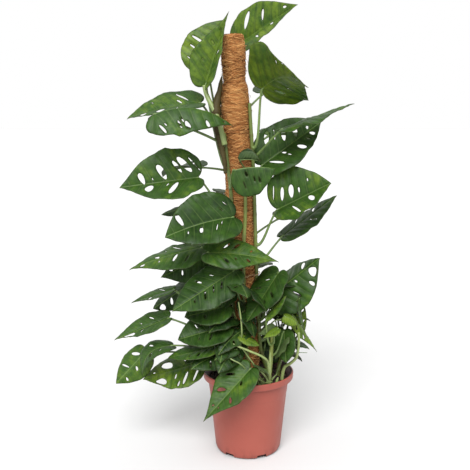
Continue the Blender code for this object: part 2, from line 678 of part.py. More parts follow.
def leaf_frame(leaf):
    base = Vector(leaf.base) * MM
    chord = Vector(leaf.tip) * MM - base
    along = chord.normalized()
    side = along.cross(Vector((0.0, 0.0, 1.0))).normalized()
    up = side.cross(along)
    left, right = (math.radians(angle) for angle in leaf.lift)
    out = (-side * math.cos(left) + up * math.sin(left), side * math.cos(right) + up * math.sin(right))
    normal = (up * math.cos(left) + side * math.sin(left), up * math.cos(right) - side * math.sin(right))
    return Frame(base, along, chord.length, up, out, normal, leaf.half_width * MM)


def blade_point(leaf, frame, share, across):
    """The middle of the blade's thickness at a share of the length and of the half width."""
    arch = leaf.arch * MM * 4 * share * (1 - share)
    spot = frame.base + frame.along * (frame.length * share) + frame.up * arch
    half = 0 if across < 0 else 1
    reach = abs(across)
    ripple = leaf.wave * math.sin(2 * math.pi * WAVES * share + WAVE_SHIFT * half + leaf.height)
    rise = (ripple - leaf.curl) * reach * reach
    return spot + (frame.out[half] * reach + frame.normal[half] * rise) * frame.half


def blade_sheet(leaf, frame, windows):
    """Points and triangles of the blade with its windows left out."""
    edge = half_outline(leaf.point)
    outline = edge + [(share, -width) for share, width in edge[-2:0:-1]]
    holes = [window_ring(window, edge) for window in windows]
    flat = []
    bounds = []
    for ring in [outline] + holes:
        first = len(flat)
        flat += ring
        bounds += [(first + i, first + (i + 1) % len(ring)) for i in range(len(ring))]
    tip = len(edge) - 1
    spine = [0] + list(range(len(flat), len(flat) + MIDRIB_STEPS)) + [tip]
    flat += [((i + SPINE_START) / (MIDRIB_STEPS + SPINE_START), 0.0) for i in range(MIDRIB_STEPS)]
    bounds += list(zip(spine, spine[1:]))
    scale = frame.half / frame.length
    coords = [Vector((share, across * scale)) for share, across in flat]
    points, _, faces, *_ = delaunay_2d_cdt(coords, bounds, [], 1, 1e-6)
    kept = []
    for face in faces:
        centre = sum((points[i] for i in face), Vector((0.0, 0.0))) / len(face)
        if not any(inside(centre, ring, scale) for ring in holes):
            kept.append(face)
    return [blade_point(leaf, frame, point.x, point.y / scale) for point in points], kept


def inside(spot, ring, scale):
    """True where a flat point lies within a window."""
    crossings = 0
    for (x1, y1), (x2, y2) in zip(ring, ring[1:] + ring[:1]):
        y1, y2 = y1 * scale, y2 * scale
        if (y1 > spot.y) != (y2 > spot.y) and spot.x < x1 + (spot.y - y1) * (x2 - x1) / (y2 - y1):
            crossings += 1
    return crossings % 2 == 1


def stalk_route(leaf, frame, routes):
    """The stalk from the side of its stem to a little way along the midrib."""
    centre, radius = stem_spot(routes[leaf.stem], leaf.height * MM)
    away = frame.base - centre
    level = Vector((away.x, away.y, 0.0)).normalized()
    start = centre + level * (radius + STALK_CLEAR)
    collar = start + level * STALK_COLLAR
    pull = away.length * STALK_PULL
    leave = start + level * min(pull, STALK_LEAVE) + Vector((0.0, 0.0, STALK_RISE * pull))
    arrive = frame.base - away.normalized().lerp(frame.along, STALK_TURN) * min(pull, STALK_ARRIVE)
    route = [start] + interpolate_bezier(collar, leave, arrive, frame.base, STALK_POINTS)
    return route + [blade_point(leaf, frame, STALK_INTO_BLADE, 0.0)]


def make_leaf(name, leaf, windows, routes, parts, tools, look):
    frame = leaf_frame(leaf)
    points, faces = blade_sheet(leaf, frame, windows)
    mesh = bpy.data.meshes.new(name)
    mesh.from_pydata(points, [], faces)
    shape = bmesh.new()
    shape.from_mesh(mesh)
    bmesh.ops.triangulate(shape, faces=shape.faces)
    bmesh.ops.delete(shape, geom=[v for v in shape.verts if not v.link_faces], context="VERTS")
    bmesh.ops.recalc_face_normals(shape, faces=shape.faces)
    shape.to_mesh(mesh)
    shape.free()
    blade = add_object(name + "_sheet", mesh, tools)
    solidify = blade.modifiers.new("Thickness", "SOLIDIFY")
    solidify.thickness = BLADE
    solidify.offset = 0.0
    route = stalk_route(leaf, frame, routes)
    slim = min(1.0, STALK_LEAST + (1 - STALK_LEAST) * frame.length / LONG_LEAF)
    last = len(route) - 1
    radii = [slim * (STALK_ROOT + (STALK_NECK - STALK_ROOT) * i / (last - 1)) for i in range(last)]
    line = tube(name + "_line", route, radii + [STALK_END * slim], 0, tools)
    stalk = applied(line, name + "_stalk", tools, None)
    join = blade.modifiers.new("Join", "BOOLEAN")
    join.operation = "UNION"
    join.solver = "MANIFOLD"
    join.object = stalk
    applied(blade, name, parts, look)
    bpy.data.objects.remove(stalk, do_unlink=True)


def main():
    for old in list(bpy.data.objects):
        bpy.data.objects.remove(old, do_unlink=True)
    parts = bpy.data.collections.new("potted_monstera")
    tools = bpy.data.collections.new("cutters")
    bpy.context.scene.collection.children.link(parts)
    bpy.context.scene.collection.children.link(tools)
    terracotta = material("terracotta_plastic", (0.42, 0.12, 0.09), 0.45)
    earth = material("soil", (0.03, 0.015, 0.012), 0.95)
    wood = material("stake_wood", (0.35, 0.22, 0.12), 0.7)
    fibre = material("coir", (0.45, 0.17, 0.06), 0.95)
    twine = material("twine", (0.50, 0.33, 0.18), 0.9)
    green_stem = material("stem", (0.20, 0.32, 0.09), 0.5)
    green_leaf = material("leaf", (0.05, 0.16, 0.03), 0.4)

    routes = stem_routes()
    make_pot(parts, tools, terracotta)
    make_soil(routes, parts, tools, earth)
    make_stake(parts, wood)
    make_coir(parts, fibre)
    for name, points in routes.items():
        make_stem(name, points, parts, tools, green_stem)
    make_tie(routes, parts, tools, twine)
    for number, leaf in enumerate(LEAVES, start=1):
        grown = grown_windows(leaf_frame(leaf).length, random.Random(number))
        windows = WINDOWS.get(number, grown)
        make_leaf(f"leaf_{number:02d}", leaf, windows, routes, parts, tools, green_leaf)


main()
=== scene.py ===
"""The looks of a potted Monstera adansonii on a coir pole, built around its solids.

Metres, +Z up, seen from -Y. Places of leaves and stems are in millimetres, as in the solids.
"""

import math
import random
from typing import NamedTuple

import bmesh
import bpy
import numpy as np
from mathutils import Euler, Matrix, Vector, noise
from mathutils.geometry import delaunay_2d_cdt, interpolate_bezier


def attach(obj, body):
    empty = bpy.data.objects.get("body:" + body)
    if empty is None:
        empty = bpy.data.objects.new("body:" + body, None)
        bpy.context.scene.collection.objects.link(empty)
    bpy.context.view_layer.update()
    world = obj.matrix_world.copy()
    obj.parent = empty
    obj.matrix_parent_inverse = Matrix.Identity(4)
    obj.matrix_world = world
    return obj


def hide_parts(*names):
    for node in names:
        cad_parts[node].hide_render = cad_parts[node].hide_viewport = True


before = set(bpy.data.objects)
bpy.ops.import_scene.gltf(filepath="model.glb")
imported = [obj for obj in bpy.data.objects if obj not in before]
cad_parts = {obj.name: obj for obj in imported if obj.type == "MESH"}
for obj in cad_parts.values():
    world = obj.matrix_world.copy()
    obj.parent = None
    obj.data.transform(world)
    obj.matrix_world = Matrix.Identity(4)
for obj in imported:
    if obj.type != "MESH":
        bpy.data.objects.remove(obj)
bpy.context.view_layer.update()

MM = 0.001
GAP = 0.3 * MM
UP = Vector((0.0, 0.0, 1.0))

# Pot
POT_HEIGHT = 153 * MM
RIM_RADIUS = 85 * MM
RIM_DEPTH = 13 * MM
RIM_WIDTH = 4.5 * MM
NECK_RADIUS = 76 * MM
COLLAR_HEIGHT = 113 * MM
COLLAR_RADIUS = 72.5 * MM
BASE_RADIUS = 62 * MM
BASE_CORNER = 9 * MM
WALL = 1.8 * MM
FLOOR = 4 * MM
POT_SIDES = 144
EDGE_CUT = 0.5 * MM
EDGE_ROUNDS = 3
SHARP_ANGLE = math.radians(50)
FOOT_INNER = 50 * MM
PAD_RADIUS = 20 * MM
RECESS = 1.6 * MM
DRAIN_COUNT = 6
DRAIN_WIDTH = 19 * MM
DRAIN_DEPTH = 18 * MM
DRAIN_HEIGHT = 8 * MM
DRAIN_CORNER = 2.2 * MM
DRAIN_START = 54

# Soil
SOIL_TOP = 139 * MM
SOIL_CROWN = 5 * MM
SOIL_RELIEF = 1.8 * MM
SOIL_RADIUS = 73.2 * MM
SOIL_LOW_RADIUS = 0.965 * SOIL_RADIUS
SOIL_LOW = 118 * MM
SOIL_RINGS = 44
SOIL_SPOKES = 120
SOIL_LUMPS = 2.2 * MM
SOIL_GRAINS = 1.2 * MM
CRUMBS = 900
CRUMB_SPREAD = 0.97
CRUMB_SIZE = (0.5, 2.0)

# Pole, its thread and its loose strands, of which the first ones are thicker cords
POLE_LEAN = math.radians(-2.5)
POLE_FOOT = Vector((0.0, 0.0, 0.0887))
POLE_TOP = 678 * MM
COIR_RADIUS = 24 * MM
COIR_TIP_RADIUS = 20.5 * MM
COIR_SHOULDER = 585 * MM
COIR_TAPER = 12 * MM
COIR_TOP_ROUND = 5 * MM
COIR_TOP_CURVE = 9 * MM
COIR_RELIEF = 0.8 * MM
COIR_LUMPS = 0.9 * MM
COIR_TUFTS = 0.5 * MM
COIR_PITCH = 14 * MM
COIR_SIDES = 96
COIR_RINGS = 300
DENT_SWAY = 5
DENT_WIDTH = 2.2 * MM
FIBRES = 4200
CORDS = 420
FIBRE_STEPS = 6
FIBRE_FOOT = 60 * MM
FIBRE_LOW = 75 * MM
FIBRE_LENGTH = (18, 62)
FIBRE_LIFT = (-0.1, 0.7)
FIBRE_STRAY = (2.0, 5.5)
STRAY_SHARE = 0.07
LEVEL_SHARE = 0.8
LEVEL_SLOPE = 0.28
STEEP_SLOPE = 0.7
FIBRE_RADIUS = (0.16, 0.38)
CORD_RADIUS = (0.45, 0.75)

# Stems and the short roots that grip the pole
STEM_RADIUS = 4 * MM
STEM_TIP = 0.8
STEM_CLEARANCE = 1.4 * MM
STEM_SIDES = 16
STEM_WAIST = 0.93
STEM_SWELL = 0.16
JOINTS_FROM = 0.150
JOINT_GAP = (26, 44)
JOINT_ROOM = 14 * MM
JOINT_WIDTH = 3.0 * MM
SCAR_WIDTH = 1.1 * MM
ROOTS = 150
ROOT_REACH = (1.5, 4.5)
ROOT_RADIUS = (0.15, 0.4)

# Twine round the pole and its stems
TIE_HEIGHT = 345 * MM
TIE_RADIUS = 1.0 * MM
TIE_POINTS = 96
TIE_GAP = 0.2 * MM
TIE_TILT = 6 * MM
PLY_RADIUS = 0.55 * MM
PLY_OFFSET = 0.45 * MM
PLY_TURNS = 30

# Leaves
BLADE_THICKNESS = 0.6 * MM
STALK_ROOT = 2.8 * MM
STALK_NECK = 1.9 * MM
STALK_SIDES = 8
OUTLINE_LOW = ((0.0, 0.0), (-0.14, 0.18), (-0.10, 1.0), (0.36, 1.0))
OUTLINE_HIGH = ((0.36, 1.0), (0.70, 1.0), (0.90, 0.36), (1.0, 0.0))
OUTLINE_SLIM = ((0.36, 1.0), (0.48, 1.0), (0.78, 0.06), (1.0, 0.0))
OUTLINE_STEPS = 18
VEIN_SWEEP = 0.28
VEINS = 7
VEIN_FAN = 0.55
FAN_END = -0.45
LONG_LEAF = 95 * MM
SHORT_LEAF = 65 * MM
HOLE_TURN = 0.3
HOLE_PINCH = 0.22
HOLE_STEP = 2.4 * MM
WAVES = 2.5
WAVE_SHIFT = 1.7
RAGGED = 0.05
SPACING = 2.8 * MM
GRID_ROWS = 0.866
GRID_CLEAR = 0.62

# Windows and slits of the leaves that the photo doesn't show
GROWN_COUNT = 2
GROWN_START = 0.02
GROWN_RUN = 0.66
GROWN_STEP = (0.2, 0.55)
GROWN_REACH = (0.44, 0.58)
GROWN_LONG = (0.16, 0.26)
GROWN_SHORT = (0.022, 0.036)
SLIT_SWAY = (-0.15, 0.15)
SLIT_REACH = (0.2, 0.55)
SLIT_LONG = (0.05, 0.13)
SLIT_SHORT = (0.007, 0.013)
SLIT_GAP = 0.02
SLIT_SHARE = 0.6

# Relief of a blade of full size: domed between its veins, grooved at the midrib, rolled at the rim
FULL_SIZE = 110 * MM
QUILT = 1.3 * MM
GROOVE = 0.8 * MM
GROOVE_WIDTH = 1.3 * MM
RIPPLE = 2.0 * MM
CRUMPLE = 2.6 * MM
ROLL = 0.5 * MM
ROLL_WIDTH = 1.6 * MM
CROWN_REACH = 0.25

# Shaded leaves inside the bush, in millimetres and degrees, and the clearing that the shoots stand in
INNER_LEAVES = 44
INNER_STEMS = ("vine_left", "vine_front", "vine_right", "vine_back", "shoot_middle", "shoot_left")
INNER_LOW = 188
INNER_RISE = 150
INNER_OUT = (38, 58)
INNER_AIM = (-45, 45)
INNER_DROP = (5, 50)
INNER_LENGTH = (58, 84)
INNER_WIDTH = (18, 27)
INNER_STALK = (25, 45)
INNER_LIFTS = ((-35, 10), (0, 45))
INNER_ARCH = (2, 9)
INNER_SEEDS = 100
YOUNG_SEEDS = 60
GOLDEN_SHARE = 0.381966
CLEARING_SIDES = (14, 80)
CLEARING_FRONT = -36
CLEARING_TOP = 266

# Sheaths at the shoots' feet, stalks of young leaves and the withered sheath beside the pole
SHEATHS = 22
SHEATH_SIDEWAYS = (14, 52)
SHEATH_FORWARD = (-62, -38)
SHEATH_FOOT = 141
SHEATH_LENGTH = (14, 34)
SHEATH_RADIUS = (1.6, 3.0)
SHEATH_TAPER = (0.8, 1.0, 0.95, 0.75, 0.45, 0.1)
YOUNG_STALK_SIDES = 10
OLD_SHEATH_SIDES = 20
CREASE_DEPTH = 0.28
CREASE_SCALE = 160

# Camera, fitted to the ellipses of the pot's rim and base, and light
EYE = (-0.0251, -1.30, 0.627)
EYE_DROP = 9.45
FOCAL_PIXELS = 719
PICTURE_PIXELS = 470
SENSOR_WIDTH = 36.0
KEY_WAY = (0.15, 1.0, -1.0)
KEY_STRENGTH = 3.7
KEY_SPREAD = math.radians(36)
FLOOR_SIZE = 60.0


class Leaf(NamedTuple):
    """One leaf: the stem that bears it and how high, then its blade, in millimetres and degrees."""

    stem: str
    height: float
    base: tuple
    tip: tuple
    half_width: float
    lift: tuple
    arch: float = 0
    curl: float = 0.12
    wave: float = 0.03
    point: float = 0


# A lift is how far the left or right half rises above level, seen along the leaf from its base.
LEAVES = (
    Leaf("vine_left", 565, (-72, 26, 702), (-46, 46, 797), 60, (60, -138)),
    Leaf("vine_left", 535, (-76, -14, 681), (-36, -20, 804), 40, (105, -20), point=1),
    Leaf("vine_back", 560, (-49, 38, 622), (-48, 44, 701), 12, (40, -100)),
    Leaf("vine_back", 672, (-19, 74, 757), (84, 2, 818), 50, (95, -34), point=0.4),
    Leaf("vine_right", 570, (22, -26, 672), (90, -145, 669), 70, (132, -144), 18, point=1),
    Leaf("vine_left", 590, (-88, 12, 649), (-219, 5, 621), 42, (-10, 45), 5, point=0.3),
    Leaf("vine_left", 575, (-163, -64, 629), (-28, -58, 609), 52, (-16, -55), 20, point=0.5),
    Leaf("vine_right", 555, (57, -42, 603), (182, -32, 648), 32, (6, -4), 0, 0.12, 0.09, point=0.3),
    Leaf("vine_left", 440, (-92, -10, 517), (-231, -25, 500), 58, (-21, 85), point=0.3),
    Leaf("vine_left", 425, (-28, -50, 451), (-145, -88, 421), 52, (-30, 80), 5),
    Leaf("vine_back", 400, (-109, 30, 462), (-163, 30, 444), 14, (-40, 20)),
    Leaf("vine_right", 500, (24, 5, 538), (130, 15, 615), 50, (85, -28)),
    Leaf("vine_left", 500, (-27, -66, 535), (44, -80, 538), 50, (-60, -82), 4),
    Leaf("vine_right", 395, (52, -15, 460), (145, -30, 509), 60, (90, -16)),
    Leaf("vine_right", 360, (63, 0, 409), (163, 20, 482), 36, (10, -10), point=0.2),
    Leaf("vine_left", 388, (-74, -66, 391), (53, -62, 373), 34, (50, -35), 4, point=0.8),
    Leaf("vine_left", 365, (-86, -10, 389), (-217, -30, 352), 42, (-25, 15), 4, point=0.7),
    Leaf("vine_back", 320, (-81, 18, 368), (-163, 0, 331), 38, (-75, 30), point=0.5),
    Leaf("shoot_left", 235, (-138, -16, 312), (-216, -20, 288), 24, (5, 20), point=0.5),
    Leaf("vine_front", 310, (-26, -52, 356), (-135, -85, 290), 46, (-30, 35), point=0.2),
    Leaf("vine_right", 300, (53, -45, 351), (-6, -75, 266), 40, (0, 20), point=0.3),
    Leaf("vine_right", 255, (35, -30, 300), (126, -40, 376), 54, (18, -62), point=0.2),
    Leaf("shoot_front", 222, (30, -78, 276), (64, -84, 318), 12, (20, -40)),
    Leaf("shoot_front", 248, (50, -92, 261), (22, -104, 246), 12, (-10, 10), point=0.8),
    Leaf("shoot_right", 214, (79, -38, 268), (126, -34, 199), 16, (15, -45), point=1),
    Leaf("shoot_right", 185, (96, -10, 232), (94, -12, 298), 12, (-160, 150)),
    Leaf("shoot_front", 200, (64, -44, 242), (67, -62, 187), 24, (55, -35)),
    Leaf("shoot_right", 225, (56, 26, 261), (116, 34, 291), 28, (15, -25)),
    Leaf("shoot_front", 165, (2, -80, 183), (-81, -122, 102), 36, (-10, 45), point=0.8),
    Leaf("shoot_left", 158, (-92, -4, 168), (-197, -20, 141), 44, (-26, 25), point=0.3),
    Leaf("shoot_left", 175, (-193, -15, 192), (-247, -25, 134), 32, (-75, 40), point=0.2),
    Leaf("shoot_left", 190, (-142, -35, 211), (-194, -50, 162), 27, (0, 25), 19),
    Leaf("shoot_middle", 180, (-56, -52, 215), (-146, -62, 197), 28, (-5, 20)),
    Leaf("shoot_left", 215, (-150, 0, 253), (-251, -10, 214), 28, (-5, 45), point=0.6),
    Leaf("shoot_left", 225, (-117, 30, 307), (-182, 30, 263), 28, (-80, 30)),
    Leaf("vine_left", 210, (-36, -48, 254), (-128, -56, 229), 40, (-20, 55)),
    Leaf("vine_front", 240, (-36, -46, 290), (-116, -52, 270), 36, (-25, 50)),
    Leaf("shoot_middle", 210, (-16, -65, 239), (19, -75, 224), 12, (20, -25)),
    Leaf("vine_back", 620, (30, 66, 668), (84, 150, 674), 36, (15, -10), 8),
    Leaf("vine_back", 540, (40, 60, 590), (120, 125, 575), 44, (20, 10), 8),
    Leaf("vine_back", 520, (-92, 64, 530), (-168, 118, 508), 38, (10, 20), 8),
    Leaf("vine_back", 450, (-28, 78, 478), (-35, 190, 450), 40, (15, 15), 10),
    Leaf("vine_back", 390, (62, 72, 432), (136, 128, 418), 36, (20, 5), 8),
    Leaf("vine_back", 370, (-85, 70, 415), (-150, 125, 395), 42, (5, 20), 8),
    Leaf("vine_back", 300, (0, 85, 335), (20, 190, 305), 44, (15, 10), 8),
    Leaf("vine_back", 240, (-60, 80, 280), (-115, 165, 240), 40, (5, 15), 8),
    Leaf("vine_back", 210, (50, 70, 235), (114, 118, 205), 34, (15, 0), 8),
)

# Windows by leaf number: -1 for the left half or 1 for the right, the share of the midrib at which
# the veins beside the window start, how far out it lies towards the edge, then half its length in
# shares of the half width and half its width in shares of the leaf's length.
WINDOWS = {
    1: ((-1, 0.43, 0.58, 0.27, 0.027), (-1, 0.24, 0.62, 0.15, 0.018), (-1, -0.05, 0.68, 0.12, 0.015),
        (1, 0.3, 0.5, 0.2, 0.025), (1, 0.55, 0.45, 0.15, 0.02)),
    2: ((-1, 0.5, 0.35, 0.14, 0.016), (1, 0.35, 0.5, 0.2, 0.02)),
    4: ((-1, 0.1, 0.6, 0.25, 0.042), (-1, 0.43, 0.45, 0.2, 0.02), (-1, 0.8, 0.5, 0.12, 0.026),
        (1, 0.57, 0.2, 0.15, 0.026), (1, 0.28, 0.5, 0.16, 0.02)),
    5: ((1, 0.06, 0.4, 0.12, 0.028), (-1, 0.445, 0.62, 0.1, 0.012)),
    6: ((1, 0.09, 0.5, 0.29, 0.022), (1, 0.22, 0.2, 0.12, 0.018), (-1, 0.45, 0.5, 0.25, 0.05),
        (-1, 0.72, 0.5, 0.3, 0.05)),
    7: ((1, -0.09, 0.76, 0.16, 0.026), (1, 0.2, 0.63, 0.14, 0.018), (1, 0.31, 0.66, 0.16, 0.034),
        (1, 0.6, 0.72, 0.2, 0.024), (-1, 0.3, 0.5, 0.2, 0.03), (-1, 0.62, 0.5, 0.2, 0.025)),
    9: ((1, 0.01, 0.48, 0.25, 0.06), (1, 0.14, 0.42, 0.19, 0.03), (1, 0.39, 0.32, 0.25, 0.045),
        (1, 0.68, 0.3, 0.29, 0.034), (-1, 0.58, 0.37, 0.22, 0.055), (-1, 0.23, 0.42, 0.27, 0.045)),
    10: ((1, 0.7, 0.5, 0.35, 0.034), (-1, 0.46, 0.3, 0.14, 0.026)),
    12: ((-1, 0.09, 0.7, 0.19, 0.055), (-1, 0.41, 0.42, 0.18, 0.036), (-1, 0.6, 0.33, 0.22, 0.034),
         (1, 0.78, 0.42, 0.26, 0.024), (1, 0.5, 0.55, 0.23, 0.036), (1, 0.08, 0.38, 0.27, 0.028)),
    13: ((1, 0.25, 0.22, 0.09, 0.035), (1, 0.55, 0.5, 0.12, 0.025)),
    14: ((-1, 0.09, 0.37, 0.18, 0.036), (-1, 0.28, 0.31, 0.18, 0.05), (1, 0.57, 0.38, 0.24, 0.048),
         (1, 0.2, 0.56, 0.26, 0.024)),
    15: ((-1, 0.55, 0.45, 0.25, 0.02), (-1, 0.2, 0.5, 0.2, 0.02), (1, 0.4, 0.5, 0.2, 0.02)),
    16: ((-1, 0.15, 0.45, 0.16, 0.02), (-1, 0.3, 0.45, 0.2, 0.025), (1, 0.15, 0.5, 0.12, 0.03),
         (1, 0.5, 0.5, 0.15, 0.02)),
    17: ((1, 0.2, 0.5, 0.25, 0.018), (1, 0.58, 0.16, 0.12, 0.03), (-1, 0.32, 0.27, 0.2, 0.022),
         (-1, 0.79, 0.32, 0.3, 0.03)),
    18: ((1, 0.72, 0.3, 0.2, 0.03), (1, 0.35, 0.5, 0.15, 0.02), (-1, 0.52, 0.32, 0.15, 0.018)),
    19: ((1, 0.15, 0.5, 0.3, 0.022), (-1, 0.45, 0.5, 0.3, 0.022)),
    20: ((-1, 0.48, 0.27, 0.2, 0.016), (-1, 0.2, 0.28, 0.15, 0.016), (1, 0.4, 0.5, 0.15, 0.016)),
    21: ((-1, 0.3, 0.5, 0.16, 0.018), (1, 0.3, 0.5, 0.15, 0.018)),
    22: ((1, 0.77, 0.45, 0.32, 0.07), (1, 0.6, 0.72, 0.16, 0.03), (1, 0.3, 0.5, 0.15, 0.02),
         (-1, 0.67, 0.45, 0.3, 0.032), (-1, 0.3, 0.5, 0.14, 0.02)),
    28: ((-1, 0.4, 0.5, 0.2, 0.03),),
    29: ((1, 0.1, 0.58, 0.16, 0.03), (1, 0.42, 0.45, 0.22, 0.035), (-1, 0.2, 0.2, 0.1, 0.022),
         (-1, 0.45, 0.5, 0.2, 0.02)),
    30: ((1, 0.075, 0.45, 0.26, 0.08), (1, -0.13, 0.4, 0.2, 0.032), (1, 0.485, 0.42, 0.25, 0.1),
         (-1, 0.64, 0.62, 0.22, 0.1), (-1, 0.16, 0.58, 0.27, 0.028), (-1, -0.08, 0.6, 0.27, 0.032)),
    31: ((1, 0.08, 0.42, 0.25, 0.055), (1, 0.5, 0.42, 0.33, 0.022), (-1, 0.35, 0.3, 0.12, 0.03),
         (-1, 0.7, 0.5, 0.2, 0.025)),
    32: ((1, 0.25, 0.5, 0.14, 0.03), (-1, 0.45, 0.35, 0.2, 0.035)),
    33: ((-1, 0.3, 0.5, 0.15, 0.02),),
    34: ((-1, 0.66, 0.48, 0.3, 0.11), (1, 0.15, 0.5, 0.14, 0.02)),
    35: ((-1, 0.74, 0.48, 0.34, 0.08), (-1, 0.46, 0.3, 0.24, 0.035)),
    36: ((-1, 0.3, 0.45, 0.15, 0.018), (1, 0.3, 0.5, 0.2, 0.02)),
    37: ((1, 0.35, 0.5, 0.18, 0.022), (-1, 0.5, 0.4, 0.15, 0.02)),
}

# Slits and pinholes beside those windows, too narrow for the solids.
SLITS = {
    2: ((-1, 0.2, 0.45, 0.05, 0.012), (-1, 0.72, 0.3, 0.12, 0.008)),
    5: ((1, 0.25, 0.45, 0.1, 0.007), (-1, 0.55, 0.88, 0.05, 0.012)),
    6: ((1, 0.55, 0.6, 0.08, 0.006), (-1, 0.2, 0.5, 0.12, 0.012)),
    7: ((1, 0.27, 0.45, 0.1, 0.013), (1, 0.0, 0.6, 0.06, 0.012), (1, 0.86, 0.4, 0.1, 0.01)),
    8: ((1, 0.7, 0.4, 0.14, 0.012), (-1, 0.3, 0.4, 0.12, 0.012)),
    9: ((1, -0.16, 0.55, 0.2, 0.018), (-1, 0.35, 0.22, 0.08, 0.01), (1, 0.55, 0.15, 0.04, 0.006)),
    10: ((-1, 0.21, 0.36, 0.13, 0.008), (-1, 0.15, 0.22, 0.1, 0.008), (1, -0.12, 0.6, 0.06, 0.01),
         (-1, 0.66, 0.3, 0.08, 0.01), (1, 0.05, 0.35, 0.06, 0.006)),
    12: ((-1, 0.25, 0.64, 0.17, 0.017), (-1, 0.79, 0.24, 0.1, 0.018), (1, 0.67, 0.45, 0.15, 0.01),
         (1, 0.31, 0.17, 0.09, 0.016), (1, 0.3, 0.42, 0.08, 0.008)),
    13: ((1, 0.42, 0.42, 0.1, 0.012), (1, 0.1, 0.6, 0.12, 0.012)),
    14: ((-1, -0.13, 0.6, 0.17, 0.015), (-1, 0.43, 0.25, 0.08, 0.018), (-1, 0.62, 0.5, 0.06, 0.012)),
    16: ((1, 0.33, 0.35, 0.06, 0.01), (-1, 0.55, 0.4, 0.1, 0.012)),
    17: ((1, 0.38, 0.5, 0.05, 0.01), (-1, 0.1, 0.5, 0.15, 0.013), (-1, 0.55, 0.3, 0.08, 0.01)),
    18: ((-1, 0.28, 0.72, 0.06, 0.012), (1, 0.1, 0.4, 0.1, 0.012)),
    20: ((-1, 0.34, 0.22, 0.16, 0.01), (1, 0.2, 0.4, 0.08, 0.01), (-1, 0.65, 0.3, 0.12, 0.01)),
    21: ((1, 0.55, 0.4, 0.12, 0.012), (-1, 0.5, 0.4, 0.14, 0.01), (1, 0.12, 0.3, 0.1, 0.008)),
    22: ((-1, 0.12, 0.4, 0.12, 0.01), (1, 0.48, 0.15, 0.06, 0.014)),
    29: ((1, 0.7, 0.4, 0.1, 0.013), (-1, 0.68, 0.35, 0.1, 0.012)),
    30: ((-1, 0.38, 0.4, 0.13, 0.015), (-1, 0.27, 0.78, 0.13, 0.02), (1, 0.77, 0.3, 0.08, 0.02)),
    32: ((-1, 0.15, 0.4, 0.1, 0.012),),
    33: ((1, 0.1, 0.6, 0.1, 0.009), (1, 0.2, 0.62, 0.09, 0.008), (1, 0.3, 0.62, 0.08, 0.008),
         (1, 0.4, 0.6, 0.08, 0.008), (-1, 0.5, 0.5, 0.14, 0.012)),
    34: ((-1, 0.43, 0.3, 0.18, 0.011), (1, 0.4, 0.4, 0.05, 0.01)),
    36: ((1, 0.55, 0.4, 0.15, 0.01), (-1, 0.55, 0.4, 0.1, 0.012)),
}

# How light and yellow each leaf is, from 0 for the oldest and darkest, in the order above:
# partly the leaf's age and partly painted light and shade, higher for sunlit leaves and lower for shaded
# ones.
TONES = (
    0.75, 0.66, 0.15, 0.66, 0.72, 0.50, 0.40, 0.45, 0.45, 0.25,
    0.20, 0.38, 0.30, 0.48, 0.28, 0.45, 0.45, 0.25, 0.35, 0.22,
    0.25, 0.32, 0.70, 0.75, 0.90, 0.80, 0.30, 0.35, 0.42, 0.70,
    0.60, 0.35, 0.45, 0.45, 0.20, 0.30, 0.30, 0.75, 0.50, 0.45,
    0.40, 0.45, 0.35, 0.40, 0.35, 0.30, 0.40,
)


# Nodes
def node(tree, kind, inputs=None, **settings):
    """A shader node; an input is a value or another node's output."""
    made = tree.nodes.new(kind)
    for key, value in settings.items():
        setattr(made, key, value)
    for key, value in (inputs or {}).items():
        if isinstance(value, bpy.types.NodeSocket):
            tree.links.new(value, made.inputs[key])
        else:
            made.inputs[key].default_value = value
    return made


def maths(tree, operation, *values, clamp=False):
    inputs = dict(enumerate(values))
    return node(tree, "ShaderNodeMath", inputs, operation=operation, use_clamp=clamp).outputs[0]


def fade(tree, value, start, end, low=0.0, high=1.0):
    """Low at start and high at end, with a smooth change between them."""
    inputs = {"Value": value, "From Min": start, "From Max": end, "To Min": low, "To Max": high}
    return node(tree, "ShaderNodeMapRange", inputs, interpolation_type="SMOOTHSTEP").outputs["Result"]


def mixed(tree, share, first, second, blend="MIX"):
    made = node(tree, "ShaderNodeMix", data_type="RGBA", blend_type=blend)
    for socket, value in ((made.inputs["Factor"], share), (made.inputs[6], first), (made.inputs[7], second)):
        if isinstance(value, bpy.types.NodeSocket):
            tree.links.new(value, socket)
        elif isinstance(value, tuple):
            socket.default_value = (*value, 1.0)
        else:
            socket.default_value = value
    return made.outputs[2]


def ramp(tree, value, *stops):
    made = node(tree, "ShaderNodeValToRGB", {"Fac": value})
    made.color_ramp.elements[0].position = stops[0][0]
    made.color_ramp.elements[0].color = (*stops[0][1], 1.0)
    made.color_ramp.elements[1].position = stops[-1][0]
    made.color_ramp.elements[1].color = (*stops[-1][1], 1.0)
    for place, colour in stops[1:-1]:
        made.color_ramp.elements.new(place).color = (*colour, 1.0)
    return made.outputs["Color"]


def own_place(tree):
    """Where a point is in the object's own space."""
    return node(tree, "ShaderNodeTexCoord").outputs["Object"]


def noise_of(tree, scale, detail=3.0, stretch=(1.0, 1.0, 1.0)):
    mapped = node(tree, "ShaderNodeMapping", {"Vector": own_place(tree), "Scale": stretch}).outputs[0]
    inputs = {"Vector": mapped, "Scale": scale, "Detail": detail, "Roughness": 0.55}
    return node(tree, "ShaderNodeTexNoise", inputs).outputs["Fac"]


def attribute(tree, name, output="Fac"):
    return node(tree, "ShaderNodeAttribute", attribute_name=name).outputs[output]


def parts(tree, vector):
    return node(tree, "ShaderNodeSeparateXYZ", {0: vector}).outputs


def bump(tree, height, strength, distance, under=None):
    inputs = {"Height": height, "Strength": strength, "Distance": distance}
    if under:
        inputs["Normal"] = under
    return node(tree, "ShaderNodeBump", inputs).outputs[0]


def new_material(name):
    made = bpy.data.materials.new(name)
    made.use_nodes = True
    return made, made.node_tree, made.node_tree.nodes["Principled BSDF"]


